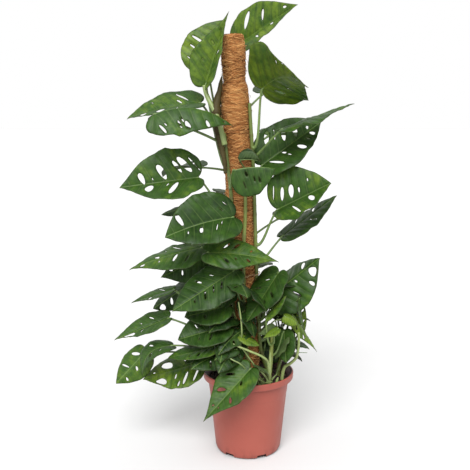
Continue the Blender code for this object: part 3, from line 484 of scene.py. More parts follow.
def connect(tree, shader, **sockets):
    for name, value in sockets.items():
        target = shader.inputs[name.replace("_", " ")]
        if isinstance(value, bpy.types.NodeSocket):
            tree.links.new(value, target)
        else:
            target.default_value = value


def leaf_material(name, dark, middle, light, vein, vein_share, roughness):
    """A leaf's face: colour by the leaf's tone, patches and streaks, painted shade in the grooves beside the
    veins, paler veins and a brown rim.
    """
    made, tree, shader = new_material(name)
    along, reach, rib = parts(tree, attribute(tree, "detail", "Vector"))
    tone = attribute(tree, "tone")
    patches = noise_of(tree, 26.0, 3.0)
    clouds = noise_of(tree, 80.0, 4.0)
    fine = noise_of(tree, 210.0, 2.0)
    across = node(tree, "ShaderNodeCombineXYZ", {0: maths(tree, "MULTIPLY", along, 3.2), 1: reach})
    turn = maths(tree, "MULTIPLY", tone, 91.0)
    inputs = {"Vector": across.outputs[0], "W": turn, "Scale": 1.0, "Detail": 2.0}
    streaks = node(tree, "ShaderNodeTexNoise", inputs, noise_dimensions="4D").outputs["Fac"]
    uneven = maths(tree, "MULTIPLY_ADD", streaks, 0.4, patches)
    uneven = maths(tree, "MULTIPLY_ADD", clouds, 0.7, uneven)
    shade = maths(tree, "ADD", tone, maths(tree, "SUBTRACT", uneven, 1.05), clamp=True)
    colour = ramp(tree, shade, (0.0, dark), (0.5, middle), (1.0, light))
    colour = mixed(tree, fade(tree, fine, 0.45, 0.75, 0.0, 0.3), colour, dark)
    cell = maths(tree, "PINGPONG", along, 0.5)
    # Darker bands beside each vein, where the blade dips into its grooves: painted shade.
    groove_shade = fade(tree, cell, 0.05, 0.24, 0.34, 0.0)
    colour = mixed(tree, groove_shade, colour, dark)
    side_veins = fade(tree, cell, 0.01, 0.08, vein_share, 0.0)
    side_veins = maths(tree, "MULTIPLY", side_veins, fade(tree, reach, 0.3, 1.0, 1.0, 0.2))
    veins = maths(tree, "MAXIMUM", side_veins, fade(tree, rib, 0.5, 1.2, 0.85, 0.0))
    colour = mixed(tree, maths(tree, "MULTIPLY", veins, 0.75), colour, vein)
    rim = fade(tree, attribute(tree, "rim"), 0.1, 1.3, 0.7, 0.0)
    colour = mixed(tree, rim, colour, (0.030, 0.032, 0.008))
    inputs = {"Vector": own_place(tree), "Scale": 420.0}
    net = node(tree, "ShaderNodeTexVoronoi", inputs, feature="DISTANCE_TO_EDGE").outputs["Distance"]
    bumped = bump(tree, fade(tree, net, 0.0, 0.12), 0.25, 0.00015)
    bumped = bump(tree, fine, 0.35, 0.0006, bumped)
    bumped = bump(tree, streaks, 0.5, 0.0012, bumped)
    gloss = maths(tree, "MULTIPLY_ADD", patches, 0.24, roughness - 0.12)
    connect(tree, shader, Base_Color=colour, Roughness=gloss, Normal=bumped, Specular_IOR_Level=0.2)
    return made


def stem_material(name, pale, green, brown):
    """A stem or leaf stalk: green with long streaks, and paler brown scars at the joints."""
    made, tree, shader = new_material(name)
    scar, _, _ = parts(tree, attribute(tree, "detail", "Vector"))
    streaks = noise_of(tree, 160.0, 3.0, (1.0, 1.0, 0.12))
    mottle = noise_of(tree, 60.0, 3.0)
    uneven = maths(tree, "MULTIPLY_ADD", streaks, 0.7, -0.35)
    shade = maths(tree, "ADD", attribute(tree, "tone"), uneven, clamp=True)
    colour = ramp(tree, shade, (0.0, green), (1.0, pale))
    colour = mixed(tree, fade(tree, mottle, 0.52, 0.75, 0.0, 0.35), colour, brown)
    colour = mixed(tree, maths(tree, "MULTIPLY", scar, 0.85), colour, brown)
    gloss = fade(tree, mottle, 0.3, 0.7, 0.38, 0.55)
    connect(tree, shader, Base_Color=colour, Roughness=gloss, Normal=bump(tree, streaks, 0.4, 0.0004))
    return made


def fibre_material(name, dark, middle, light, roughness=0.85):
    """Plant fibre: each strand has its own shade, over darker and lighter patches."""
    made, tree, shader = new_material(name)
    patches = noise_of(tree, 24.0, 4.0)
    strands = noise_of(tree, 300.0, 3.0, (0.35, 0.35, 1.6))
    shade = maths(tree, "ADD", attribute(tree, "tone"), maths(tree, "MULTIPLY_ADD", patches, 0.5, -0.25))
    shade = maths(tree, "ADD", shade, maths(tree, "MULTIPLY_ADD", strands, 0.5, -0.25), clamp=True)
    colour = ramp(tree, shade, (0.0, dark), (0.5, middle), (1.0, light))
    bumped = bump(tree, strands, 0.6, 0.0006)
    connect(tree, shader, Base_Color=colour, Roughness=roughness, Normal=bumped, Specular_IOR_Level=0.2)
    return made


def pot_material():
    """Coloured moulded plastic: a little dusty, finely turned, earthy inside, with painted shade towards the
    foot and in its notches.
    """
    made, tree, shader = new_material("terracotta_plastic")
    dust = noise_of(tree, 70.0, 4.0, (1.0, 1.0, 0.35))
    cloud = noise_of(tree, 9.0, 3.0)
    colour = ramp(tree, cloud, (0.3, (0.272, 0.060, 0.042)), (0.7, (0.312, 0.075, 0.053)))
    colour = mixed(tree, fade(tree, dust, 0.55, 0.8, 0.0, 0.16), colour, (0.33, 0.13, 0.095))
    inside, _, _ = parts(tree, attribute(tree, "detail", "Vector"))
    grime = maths(tree, "MULTIPLY", inside, fade(tree, dust, 0.2, 0.7, 0.75, 1.0))
    colour = mixed(tree, grime, colour, (0.040, 0.012, 0.009))
    x, y, height = parts(tree, own_place(tree))
    # Darker towards the foot, in patches: painted shade near the floor.
    low = maths(tree, "MULTIPLY", fade(tree, height, 0.004, 0.028, 0.45, 0.0), fade(tree, dust, 0.46, 0.62))
    colour = mixed(tree, low, colour, (0.13, 0.030, 0.020))
    out = maths(tree, "SQRT", maths(tree, "MULTIPLY_ADD", x, x, maths(tree, "MULTIPLY", y, y)))
    # Painted shade in the drain notches and under the edge of the foot.
    notch = maths(
        tree, "MULTIPLY", fade(tree, out, BASE_RADIUS - 14 * MM, BASE_RADIUS - 11 * MM),
        fade(tree, out, BASE_RADIUS - 3.6 * MM, BASE_RADIUS - 1.8 * MM, 0.9, 0.0),
    )
    colour = mixed(tree, notch, colour, (0.014, 0.007, 0.006))
    bumped = bump(tree, noise_of(tree, 260.0, 2.0, (0.04, 0.04, 1.0)), 0.10, 0.0002)
    bumped = bump(tree, noise_of(tree, 420.0, 2.0), 0.12, 0.0002, bumped)
    gloss = fade(tree, dust, 0.3, 0.7, 0.42, 0.56)
    connect(tree, shader, Base_Color=colour, Roughness=gloss, Normal=bumped, Specular_IOR_Level=0.4)
    return made


def soil_material():
    made, tree, shader = new_material("soil")
    lumps = noise_of(tree, 140.0, 5.0)
    uneven = maths(tree, "MULTIPLY_ADD", lumps, 0.9, -0.45)
    shade = maths(tree, "ADD", attribute(tree, "tone"), uneven, clamp=True)
    stops = (0.0, (0.008, 0.004, 0.003)), (0.55, (0.040, 0.019, 0.013)), (1.0, (0.13, 0.070, 0.045))
    bumped = bump(tree, lumps, 0.9, 0.002)
    connect(tree, shader, Base_Color=ramp(tree, shade, *stops), Roughness=0.95, Normal=bumped)
    return made


def floor_material():
    made, tree, shader = new_material("pale_floor")
    shade = ramp(tree, noise_of(tree, 3.0, 2.0), (0.3, (0.59, 0.59, 0.59)), (0.7, (0.61, 0.61, 0.61)))
    connect(tree, shader, Base_Color=shade, Roughness=0.8, Specular_IOR_Level=0.1)
    return made


# Meshes
class Shape:
    """The points, faces and point values of one piece, gathered from its parts."""

    def __init__(self):
        self.points = []
        self.faces = []
        self.looks = []
        self.details = []
        self.tones = []
        self.rims = []
        self.total = 0

    def add(self, points, faces, look=0, detail=(0.0, 0.0, 0.0), tone=0.5, rim=9.0):
        """Adds a part. The values after its faces hold for all of it, or are given one by one."""
        points = np.asarray(points, float)
        count = len(points)
        self.points.append(points)
        self.faces += [tuple(int(i) + self.total for i in face) for face in faces]
        self.looks += np.broadcast_to(look, len(faces)).tolist()
        self.details.append(np.broadcast_to(detail, (count, 3)))
        self.tones.append(np.full(count, tone, float))
        self.rims.append(np.full(count, rim, float))
        self.total += count

    def piece(self, name, looks, nodes=()):
        """Makes the object, which rides on the root body and stands for the given nodes."""
        mesh = bpy.data.meshes.new(name)
        mesh.from_pydata(np.concatenate(self.points).tolist(), [], self.faces)
        for look in looks:
            mesh.materials.append(look)
        mesh.polygons.foreach_set("material_index", self.looks)
        mesh.polygons.foreach_set("use_smooth", [True] * len(self.faces))
        columns = (
            ("detail", "FLOAT_VECTOR", "vector", self.details),
            ("tone", "FLOAT", "value", self.tones),
            ("rim", "FLOAT", "value", self.rims),
        )
        for title, kind, key, values in columns:
            column = mesh.attributes.new(title, kind, "POINT")
            column.data.foreach_set(key, np.concatenate(values).astype(np.float32).ravel())
        mesh.update()
        made = bpy.data.objects.new(name, mesh)
        bpy.context.scene.collection.objects.link(made)
        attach(made, "root")
        if nodes:
            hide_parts(*nodes)
        return made


def bands(first, rings, sides):
    """Quads that join rings of points, counted from the first ring's first point."""
    faces = []
    for low in range(first, first + (rings - 1) * sides, sides):
        for i in range(sides):
            j = (i + 1) % sides
            faces.append((low + i, low + j, low + sides + j, low + sides + i))
    return faces


def closed(rings, sides):
    """Faces of a body whose points are one end, its rings from there on, and the other end."""
    last = 1 + (rings - 1) * sides
    start = [(0, 1 + (i + 1) % sides, 1 + i) for i in range(sides)]
    end = [(last + i, last + (i + 1) % sides, last + sides) for i in range(sides)]
    return start + bands(1, rings, sides) + end


def tube(points, radii, sides):
    """Rings of points round a line, and the faces between them and over both ends."""
    line = np.array([tuple(point) for point in points])
    ways = np.gradient(line, axis=0)
    ways /= np.linalg.norm(ways, axis=1)[:, None]
    turns = np.arange(sides) * 2 * math.pi / sides
    side = np.cross(ways[0], (0.0, 0.0, 1.0) if abs(ways[0][2]) < 0.9 else (1.0, 0.0, 0.0))
    rings = []
    for spot, way, radius in zip(line, ways, radii):
        side = side - way * (side @ way)
        side /= np.linalg.norm(side)
        other = np.cross(way, side)
        rings.append(spot + radius * (np.outer(np.cos(turns), side) + np.outer(np.sin(turns), other)))
    last = (len(line) - 1) * sides
    ends = [tuple(range(sides))[::-1], tuple(range(last, last + sides))]
    return np.concatenate(rings), bands(0, len(line), sides) + ends


def lathe(profile, sides):
    """A profile of (radius, height) turned round +Z; it starts and ends on the axis."""
    turns = np.arange(sides) * 2 * math.pi / sides
    points = [(0.0, 0.0, profile[0][1])]
    for radius, height in profile[1:-1]:
        points += [(radius * math.cos(turn), radius * math.sin(turn), height) for turn in turns]
    points.append((0.0, 0.0, profile[-1][1]))
    return np.array(points), closed(len(profile) - 2, sides)


def smooth_profile(corners):
    """A profile whose corners are rounded: each is cut off, and the new ones again."""
    points = [Vector((*corner, 0.0)) for corner in corners]
    for _ in range(EDGE_ROUNDS):
        cut = [points[0]]
        for low, high in zip(points, points[1:]):
            reach = min(0.25, EDGE_CUT / max((high - low).length, 1e-9))
            cut += [low.lerp(high, reach), low.lerp(high, 1 - reach)]
        points = cut + [points[-1]]
    return [(point.x, point.y) for point in points]


# Pole
def on_pole(angle, along, radius):
    """A world point beside the pole, at an angle in degrees from +X and a distance up its axis."""
    turn = math.radians(angle)
    local = Vector((radius * math.cos(turn), radius * math.sin(turn), along))
    local.rotate(Euler((0.0, POLE_LEAN, 0.0)))
    return POLE_FOOT + local


def coir_radius(along):
    share = min(max((along - COIR_SHOULDER) / COIR_TAPER, 0.0), 1.0)
    radius = COIR_RADIUS + share * (COIR_TIP_RADIUS - COIR_RADIUS)
    return radius + COIR_RELIEF * math.sin(along / COIR_PITCH)


# Heights up the pole's axis where a turn of thread draws the mat in, and how deep.
DENTS = (
    (628, 1.2), (603, 1.4), (556, 1.6), (517, 1.2), (470, 1.2),
    (402, 1.0), (330, 1.2), (250, 1.0), (165, 1.0),
)


def coir_surface(angle, along):
    """The mat's radius at a place, with its lumps and the dents of the thread."""
    turn = math.radians(angle)
    spot = Vector((math.cos(turn) * 1.6, math.sin(turn) * 1.6, along * 60))
    radius = coir_radius(along) + COIR_LUMPS * noise.noise(spot) + COIR_TUFTS * noise.noise(spot * 3.1)
    for height, depth in DENTS:
        off = along - (height + DENT_SWAY * math.cos(turn + height)) * MM
        radius -= depth * MM * math.exp(-((off / DENT_WIDTH) ** 2))
    over = along - POLE_TOP + COIR_TOP_ROUND
    if over > 0:
        radius -= over ** 2 / COIR_TOP_CURVE
    return radius


def make_coir(look):
    points = [on_pole(0, 0, 0)]
    for ring in range(COIR_RINGS + 1):
        along = POLE_TOP * ring / COIR_RINGS
        for side in range(COIR_SIDES):
            angle = 360 * side / COIR_SIDES
            points.append(on_pole(angle, along, coir_surface(angle, along)))
    points.append(on_pole(0, POLE_TOP + 1 * MM, 0))
    mat = Shape()
    # The mat under the loose strands gets a low tone: painted shade in the gaps between them.
    mat.add([tuple(point) for point in points], closed(COIR_RINGS + 1, COIR_SIDES), tone=0.22)
    mat.piece("coir_mat", [look], ["coir_wrap"])


def fibre_line(rng):
    """A strand's way round the pole: most are nearly level, and some stand off at one end."""
    angle = rng.uniform(0, 360)
    along = rng.uniform(FIBRE_LOW, POLE_TOP - 2 * MM)
    slope = rng.gauss(0, LEVEL_SLOPE if rng.random() < LEVEL_SHARE else STEEP_SLOPE)
    length = rng.uniform(*FIBRE_LENGTH) * MM
    lift = rng.uniform(*FIBRE_LIFT) * MM
    stray = rng.random() < STRAY_SHARE
    swing = rng.uniform(-1.5, 1.5)
    points = []
    for step in range(FIBRE_STEPS + 1):
        share = step / FIBRE_STEPS
        run = length * share
        height = along + run * slope + 1.2 * MM * math.sin(swing + 4 * share)
        height = min(max(height, FIBRE_FOOT), POLE_TOP + 0.5 * MM)
        turn = angle + math.degrees(run / COIR_RADIUS)
        off = lift + 0.35 * MM * math.sin(9 * share + swing)
        if stray:
            off += (share ** 2) * rng.uniform(*FIBRE_STRAY) * MM
        points.append(on_pole(turn, height, coir_surface(turn, height) + off))
    return points


def make_fibres(look):
    """Loose strands that wind round the pole, thinner towards both ends."""
    rng = random.Random(71)
    strands = Shape()
    for number in range(FIBRES):
        points = fibre_line(rng)
        cord = number < CORDS
        thick = rng.uniform(*(CORD_RADIUS if cord else FIBRE_RADIUS)) * MM
        tone = rng.gauss(0.78, 0.16) if cord else rng.gauss(0.52, 0.34)
        last = len(points)
        radii = [thick * (0.6 + 0.4 * math.sin(math.pi * (i + 0.5) / last)) for i in range(last)]
        strands.add(*tube(points, radii, 3), tone=min(max(tone, 0.0), 1.0))
    strands.piece("coir_fibres", [look])


def make_stake(look):
    """The wooden core is inside the pole and the soil, so the solid itself serves."""
    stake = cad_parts["stake"]
    stake.data.materials.clear()
    stake.data.materials.append(look)


# Stems
def beside(angle, height):
    """A stem's centre where it climbs the pole, at a world height in millimetres."""
    return on_pole(angle, height * MM - POLE_FOOT.z, COIR_RADIUS + STEM_RADIUS + STEM_CLEARANCE)


def place(x, y, z):
    return Vector((x, y, z)) * MM


STEMS = {
    "vine_left": [
        place(-26, -23, 106), place(-26, -23, 150), beside(228, 190), beside(226, 250),
        beside(230, 310), beside(236, 370), beside(240, 430), beside(240, 490),
        beside(232, 540), beside(222, 598),
    ],
    "vine_front": [
        place(2, -34, 106), place(2, -34, 155), beside(272, 200), beside(268, 260),
        beside(272, 320), beside(276, 385), beside(288, 450), beside(292, 500),
    ],
    "vine_right": [
        place(36, -16, 106), place(36, -16, 155), beside(338, 200), beside(334, 260),
        beside(330, 320), beside(331, 385), beside(335, 450), beside(338, 520),
        beside(334, 575), beside(330, 612), beside(328, 648),
    ],
    "vine_back": [
        place(-4, 36, 106), place(-4, 36, 155), beside(94, 200), beside(98, 270),
        beside(92, 340), beside(86, 410), beside(92, 480), beside(100, 550),
        beside(94, 620), beside(88, 676),
    ],
    "shoot_front": [
        place(38, -47, 106), place(38, -47, 155), place(40, -53, 190), place(41, -60, 225),
        place(41, -65, 256),
    ],
    "shoot_left": [
        place(-46, -8, 106), place(-46, -8, 150), place(-52, -10, 185), place(-58, -8, 215),
        place(-62, -4, 245),
    ],
    "shoot_right": [
        place(57, 2, 106), place(57, 2, 150), place(62, 0, 180), place(64, 2, 210), place(63, 6, 240),
    ],
    "shoot_middle": [
        place(-14, -44, 106), place(-14, -44, 150), place(-14, -45, 180), place(-16, -49, 215),
        place(-17, -53, 238),
    ],
}
STEM_TONES = {"vine_front": 0.75, "shoot_front": 0.85, "shoot_right": 0.7, "vine_right": 0.45}


def smooth_route(points, steps):
    """More points on a smooth curve through the given ones."""
    route = []
    last = len(points) - 1
    for i in range(last):
        before = points[max(i - 1, 0)]
        after = points[min(i + 2, last)]
        start_pull = points[i] + (points[i + 1] - before) / 6
        end_pull = points[i + 1] - (after - points[i]) / 6
        route += interpolate_bezier(points[i], start_pull, end_pull, points[i + 1], steps + 1)[:-1]
    return route + [points[last]]


def stem_radius(share):
    return STEM_RADIUS * (1 - (1 - STEM_TIP) * share)


def stem_spot(points, height):
    """The stem's centre at a height, and its radius there."""
    route = [points[0]] + smooth_route(points[1:], 2)
    last = len(route) - 1
    for i in range(last):
        if route[i].z <= height <= route[i + 1].z:
            share = (height - route[i].z) / (route[i + 1].z - route[i].z)
            return route[i].lerp(route[i + 1], share), stem_radius((i + share) / last)
    return route[last], stem_radius(1)


def make_stem(name, look):
    """A stem with a swollen ring and scar at each joint, close together as in a climbing plant."""
    rng = random.Random(name)
    points = STEMS[name]
    route = smooth_route(points, 16)
    joints = [leaf.height * MM for leaf in LEAVES if leaf.stem == name]
    height = JOINTS_FROM
    while height < points[-1].z:
        if all(abs(height - joint) > JOINT_ROOM for joint in joints):
            joints.append(height)
        height += rng.uniform(*JOINT_GAP) * MM
    radii = []
    scars = []
    for i, spot in enumerate(route):
        near = min(abs(spot.z - joint) for joint in joints)
        ring = math.exp(-((near / JOINT_WIDTH) ** 2))
        radii.append(stem_radius(i / (len(route) - 1)) * (STEM_WAIST + STEM_SWELL * ring))
        scars.append((0.8 * math.exp(-((near / SCAR_WIDTH) ** 2)), 0.0, 0.0))
    radii[-1] *= 0.55
    detail = np.repeat(scars, STEM_SIDES, axis=0)
    stem = Shape()
    stem.add(*tube(route, radii, STEM_SIDES), detail=detail, tone=STEM_TONES.get(name, 0.35))
    stem.piece(name + "_bark", [look], [name])


# Twine
def make_tie(look):
    """Two-ply twine drawn round the pole and the stems that climb it."""
    held = [stem_spot(points, TIE_HEIGHT) for name, points in STEMS.items() if name.startswith("vine")]
    middle = on_pole(0, TIE_HEIGHT - POLE_FOOT.z, 0.0)
    centre = []
    for number in range(TIE_POINTS + 1):
        turn = 2 * math.pi * number / TIE_POINTS
        out = Vector((math.cos(turn), math.sin(turn), 0.0))
        reach = COIR_RADIUS + COIR_RELIEF
        for spot, radius in held:
            away = spot - middle
            ahead = away.dot(out)
            side = abs(away.x * out.y - away.y * out.x)
            if ahead > 0 and side < radius:
                reach = max(reach, ahead + math.sqrt(radius * radius - side * side))
            if ahead > 0 and side < 2.5 * radius:
                reach = max(reach, ahead + radius * 0.9)
        level = middle + out * (reach + TIE_RADIUS + TIE_GAP)
        centre.append(Vector((level.x, level.y, middle.z + TIE_TILT * math.sin(turn))))
    twine = Shape()
    for start, tone in ((0.0, 0.7), (math.pi, 0.3)):
        line = []
        for i, spot in enumerate(centre):
            out = (spot - middle).normalized()
            twist = start + 2 * math.pi * PLY_TURNS * i / TIE_POINTS
            line.append(spot + (out * math.cos(twist) + UP * math.sin(twist)) * PLY_OFFSET)
        twine.add(*tube(line, [PLY_RADIUS] * len(line), 6), tone=tone)
    twine.piece("twine_plies", [look], ["twine_tie"])


# Leaves
def half_outline(slim):
    """One side of a leaf from base to tip, as (share of length, share of half width).

    The part towards the tip is full where slim is 0 and slender where it is 1.
    """
    low = [Vector((*knot, 0.0)) for knot in OUTLINE_LOW]
    high = [
        Vector((*full, 0.0)).lerp(Vector((*slender, 0.0)), slim)
        for full, slender in zip(OUTLINE_HIGH, OUTLINE_SLIM)
    ]
    points = interpolate_bezier(*low, OUTLINE_STEPS + 1)[:-1] + interpolate_bezier(*high, OUTLINE_STEPS + 1)
    return [(point.x, point.y) for point in points]


def width_table(edge):
    """Shares of a leaf's length from behind its base to its tip, and the outline's half width at each."""
    shares = np.linspace(-0.08, 1.0, 300)
    widths = []
    for share in shares:
        widest = 0.0
        for (low, low_width), (high, high_width) in zip(edge, edge[1:]):
            if low != high and min(low, high) <= share <= max(low, high):
                part = (share - low) / (high - low)
                widest = max(widest, low_width + part * (high_width - low_width))
        widths.append(widest)
    return shares, np.array(widths)


class Blade(NamedTuple):
    """How a leaf's blade lies: its base, direction and size, and the way each half points and faces."""

    base: Vector
    along: Vector
    length: float
    up: Vector
    out: tuple
    normal: tuple
    half: float
    edge: list
    widths: tuple


def lay_blade(leaf):
    base = Vector(leaf.base) * MM
    chord = Vector(leaf.tip) * MM - base
    along = chord.normalized()
    side = along.cross(UP).normalized()
    up = side.cross(along)
    left, right = (math.radians(angle) for angle in leaf.lift)
    out = (-side * math.cos(left) + up * math.sin(left), side * math.cos(right) + up * math.sin(right))
    normal = (up * math.cos(left) + side * math.sin(left), up * math.cos(right) - side * math.sin(right))
    edge = half_outline(leaf.point)
    return Blade(base, along, chord.length, up, out, normal, leaf.half_width * MM, edge, width_table(edge))


def vein_place(shares, reaches):
    """Where along the midrib the vein through a point starts; below 0 the veins fan out from the base."""
    along = (shares - VEIN_SWEEP * reaches) / (1 - VEIN_SWEEP * reaches)
    fan = VEIN_FAN * (shares / np.maximum(reaches, 0.02) - VEIN_SWEEP)
    return np.where(along < 0, np.maximum(fan, FAN_END), along)


def on_vein(vein, reach, side, widths):
    """The flat point at a reach along the vein that starts at a share of the midrib."""
    share = vein + VEIN_SWEEP * reach * (1 - vein)
    return share, side * reach * float(np.interp(share, *widths))


def relief(blade, shares, acrosses, cell, reaches, seed):
    """How far the blade stands out at each point, apart from its rim."""
    reach = np.abs(acrosses)
    gap = np.abs(cell - np.round(cell)) * 2
    strength = np.sqrt(np.clip(reaches * 3, 0, 1)) * (1 - 0.45 * np.clip(reaches, 0, 1) ** 2)
    lift = QUILT * np.sin(gap * math.pi / 2) * strength
    lift -= GROOVE * np.exp(-((reach * blade.half / GROOVE_WIDTH) ** 2))
    places = list(zip(shares, acrosses))
    ripple = np.array([noise.noise(Vector((s * 4, a * 3, seed * 7.3))) for s, a in places])
    crumple = np.array([noise.noise(Vector((s * 9, a * 2, seed * 3.1 + 40))) for s, a in places])
    lift += RIPPLE * ripple * reach + CRUMPLE * crumple * reach ** 2
    return lift * min(1.0, blade.length / FULL_SIZE)


def blade_points(leaf, blade, shares, acrosses, seed, rims=1.0):
    """World points of the blade's middle, with where each lies between the veins, edge and midrib."""
    right = acrosses >= 0
    reach = np.abs(acrosses)
    base, along, up = (np.array(tuple(vector)) for vector in (blade.base, blade.along, blade.up))
    arch = leaf.arch * MM * 4 * shares * (1 - shares)
    spots = base + np.outer(blade.length * shares, along) + np.outer(arch, up)
    ripple = leaf.wave * np.sin(2 * math.pi * WAVES * shares + WAVE_SHIFT * right + leaf.height)
    rise = (ripple - leaf.curl) * reach * reach
    outs = np.where(right[:, None], tuple(blade.out[1]), tuple(blade.out[0]))
    normals = np.where(right[:, None], tuple(blade.normal[1]), tuple(blade.normal[0]))
    spots += (outs * reach[:, None] + normals * rise[:, None]) * blade.half
    crown = np.array(tuple((blade.normal[0] + blade.normal[1]).normalized()))
    part = np.minimum(reach / CROWN_REACH, 1.0)[:, None]
    facing = normals * part + crown * (1 - part)
    reaches = reach / np.maximum(np.interp(shares, *blade.widths), 0.05)
    cell = vein_place(shares, reaches) * VEINS
    lift = relief(blade, shares, acrosses, cell, reaches, seed) - ROLL * np.exp(-rims / ROLL_WIDTH)
    return spots + facing * lift[:, None], np.stack((cell, reaches, reach * blade.half / MM), 1)


def grown_windows(length, rng):
    """Windows for a leaf with no row of its own: evenly along both halves, each a little different."""
    rows = []
    if length <= SHORT_LEAF:
        return rows
    for side in (-1, 1):
        for number in range(GROWN_COUNT):
            vein = GROWN_START + GROWN_RUN * (number + rng.uniform(*GROWN_STEP)) / GROWN_COUNT
            reach = rng.uniform(*GROWN_REACH)
            rows.append((side, vein, reach, rng.uniform(*GROWN_LONG), rng.uniform(*GROWN_SHORT)))
    return rows


def grown_slits(windows, rng):
    """Small holes in the gaps that a leaf's windows leave."""
    rows = []
    for side in (-1, 1):
        for cell in range(VEINS - 2):
            vein = (cell + 0.5 + rng.uniform(*SLIT_SWAY)) / VEINS
            reach = rng.uniform(*SLIT_REACH)
            long_radius = rng.uniform(*SLIT_LONG)
            short_radius = rng.uniform(*SLIT_SHORT)
            clear = all(
                side != other_side or abs(vein - other_vein) > other_short + short_radius + SLIT_GAP
                for other_side, other_vein, _, _, other_short in windows
            )
            if clear and rng.random() < SLIT_SHARE:
                rows.append((side, vein, reach, long_radius, short_radius))
    return rows


def window_ring(window, blade):
    """A window's rim as (share of length, signed share of half width), narrower towards the midrib."""
    side, vein, reach, long_radius, short_radius = window
    around = 4 * (long_radius * blade.half + short_radius * blade.length)
    count = max(8, min(22, int(around / HOLE_STEP)))
    ring = []
    for point in range(count):
        turn = 2 * math.pi * point / count + HOLE_TURN
        out = reach + long_radius * math.sin(turn)
        start = vein + short_radius * math.cos(turn) * (1 + HOLE_PINCH * math.sin(turn))
        ring.append(on_vein(start, out, side, blade.widths))
    return ring


def within(spots, ring):
    """Which of the flat points lie inside a ring."""
    found = np.zeros(len(spots), bool)
    x, y = spots[:, 0], spots[:, 1]
    for (x1, y1), (x2, y2) in zip(ring, np.roll(ring, -1, axis=0)):
        if y1 == y2:
            continue
        crosses = ((y1 > y) != (y2 > y)) & (x < x1 + (y - y1) * (x2 - x1) / (y2 - y1))
        found ^= crosses
    return found


def gaps_to(spots, ring):
    """Each flat point's distance from a closed ring's line."""
    ways = np.roll(ring, -1, axis=0) - ring
    offsets = spots[:, None] - ring[None]
    shares = np.clip((offsets * ways).sum(axis=2) / np.maximum((ways ** 2).sum(axis=1), 1e-12), 0, 1)
    return np.linalg.norm(offsets - shares[..., None] * ways, axis=2).min(axis=1)


def ragged(share, width, blade, side):
    """A point of the outline, a little in or out of the plain curve."""
    change = noise.noise(Vector((share * 6, side * 5, blade.length * 97)))
    change += 0.5 * noise.noise(Vector((share * 17, side * 5, blade.length * 61)))
    return share, side * width * (1 + RAGGED * change)


def vein_lines(blade):
    """The midrib and the side veins as flat lines, which the triangles follow."""
    count = max(8, int(blade.length / SPACING))
    lines = [[(share, 0.0) for share in np.linspace(0.0, 1.0, count)[1:-1]]]
    if blade.length > SHORT_LEAF:
        reaches = np.linspace(0.06, 0.9, max(4, int(0.8 * blade.half / SPACING)))
        for side in (-1, 1):
            for number in range(1, VEINS):
                lines.append([on_vein(number / VEINS, reach, side, blade.widths) for reach in reaches])
    return lines


def grid_spots(outlines, fixed, step, reach):
    """An even grid's points inside the first outline, outside the others and off the fixed ones."""
    rows = []
    for row, y in enumerate(np.arange(-reach, reach, step * GRID_ROWS)):
        starts = np.arange(-0.1 + row % 2 * step / 2, 1.0, step)
        rows.append(np.stack((starts, np.full(len(starts), y)), 1))
    spots = np.concatenate(rows)
    spots = spots[within(spots, outlines[0])]
    for outline in outlines[1:]:
        spots = spots[~within(spots, outline)]
    near = np.array([np.linalg.norm(fixed - spot, axis=1).min() for spot in spots])
    return spots[near > GRID_CLEAR * step]


def blade_mesh(blade, windows):
    """Flat points as (share of length, share of half width), triangles without the windows, rim gaps."""
    edge = [ragged(*spot, blade, 1) for spot in blade.edge]
    edge += [ragged(*spot, blade, -1) for spot in blade.edge[-2:0:-1]]
    rings = [edge] + [window_ring(window, blade) for window in windows]
    scale = np.array((1.0, blade.half / blade.length))
    step = SPACING / blade.length
    outlines = [np.array(ring) * scale for ring in rings]
    flat = []
    bounds = []
    for ring in rings:
        first = len(flat)
        flat += ring
        bounds += [(first + i, first + (i + 1) % len(ring)) for i in range(len(ring))]
    for line in vein_lines(blade):
        places = np.array(line) * scale
        clear = np.ones(len(line), bool)
        for outline in outlines[1:]:
            clear &= ~within(places, outline)
            clear &= np.linalg.norm(places[:, None] - outline[None], axis=2).min(axis=1) > 0.25 * step
        first = len(flat)
        kept = [i for i in range(len(line)) if clear[i]]
        flat += [line[i] for i in kept]
        bounds += [(first + i, first + i + 1) for i in range(len(kept) - 1) if kept[i + 1] == kept[i] + 1]
    fixed = np.array(flat) * scale
    spots = np.concatenate((fixed, grid_spots(outlines, fixed, step, scale[1])))
    points, _, faces, *_ = delaunay_2d_cdt([Vector(spot) for spot in spots], bounds, [], 1, 1e-6)
    points = np.array([tuple(point) for point in points])
    faces = np.array([face for face in faces if len(face) == 3])
    for outline in outlines[1:]:
        faces = faces[~within(points[faces].mean(axis=1), outline)]
    used, index = np.unique(faces, return_inverse=True)
    gaps = np.min([gaps_to(points[used], outline) for outline in outlines], axis=0) * blade.length
    return points[used] / scale, index.reshape(-1, 3), gaps


def shell(points, faces, thickness):
    """A thin sheet: the points of both sides, then the faces above with the edge strip, and those below."""
    corners = points[faces]
    flat_normals = np.cross(corners[:, 1] - corners[:, 0], corners[:, 2] - corners[:, 0])
    normals = np.zeros_like(points)
    for corner in range(3):
        np.add.at(normals, faces[:, corner], flat_normals)
    normals /= np.maximum(np.linalg.norm(normals, axis=1), 1e-12)[:, None]
    both = np.concatenate((points + normals * thickness / 2, points - normals * thickness / 2))
    count = len(points)
    edges = [pair for a, b, c in faces for pair in ((a, b), (b, c), (c, a))]
    paired = set(edges)
    strip = [(b, a, a + count, b + count) for a, b in edges if (b, a) not in paired]
    return both, [tuple(face) for face in faces] + strip, [tuple(face[::-1] + count) for face in faces]


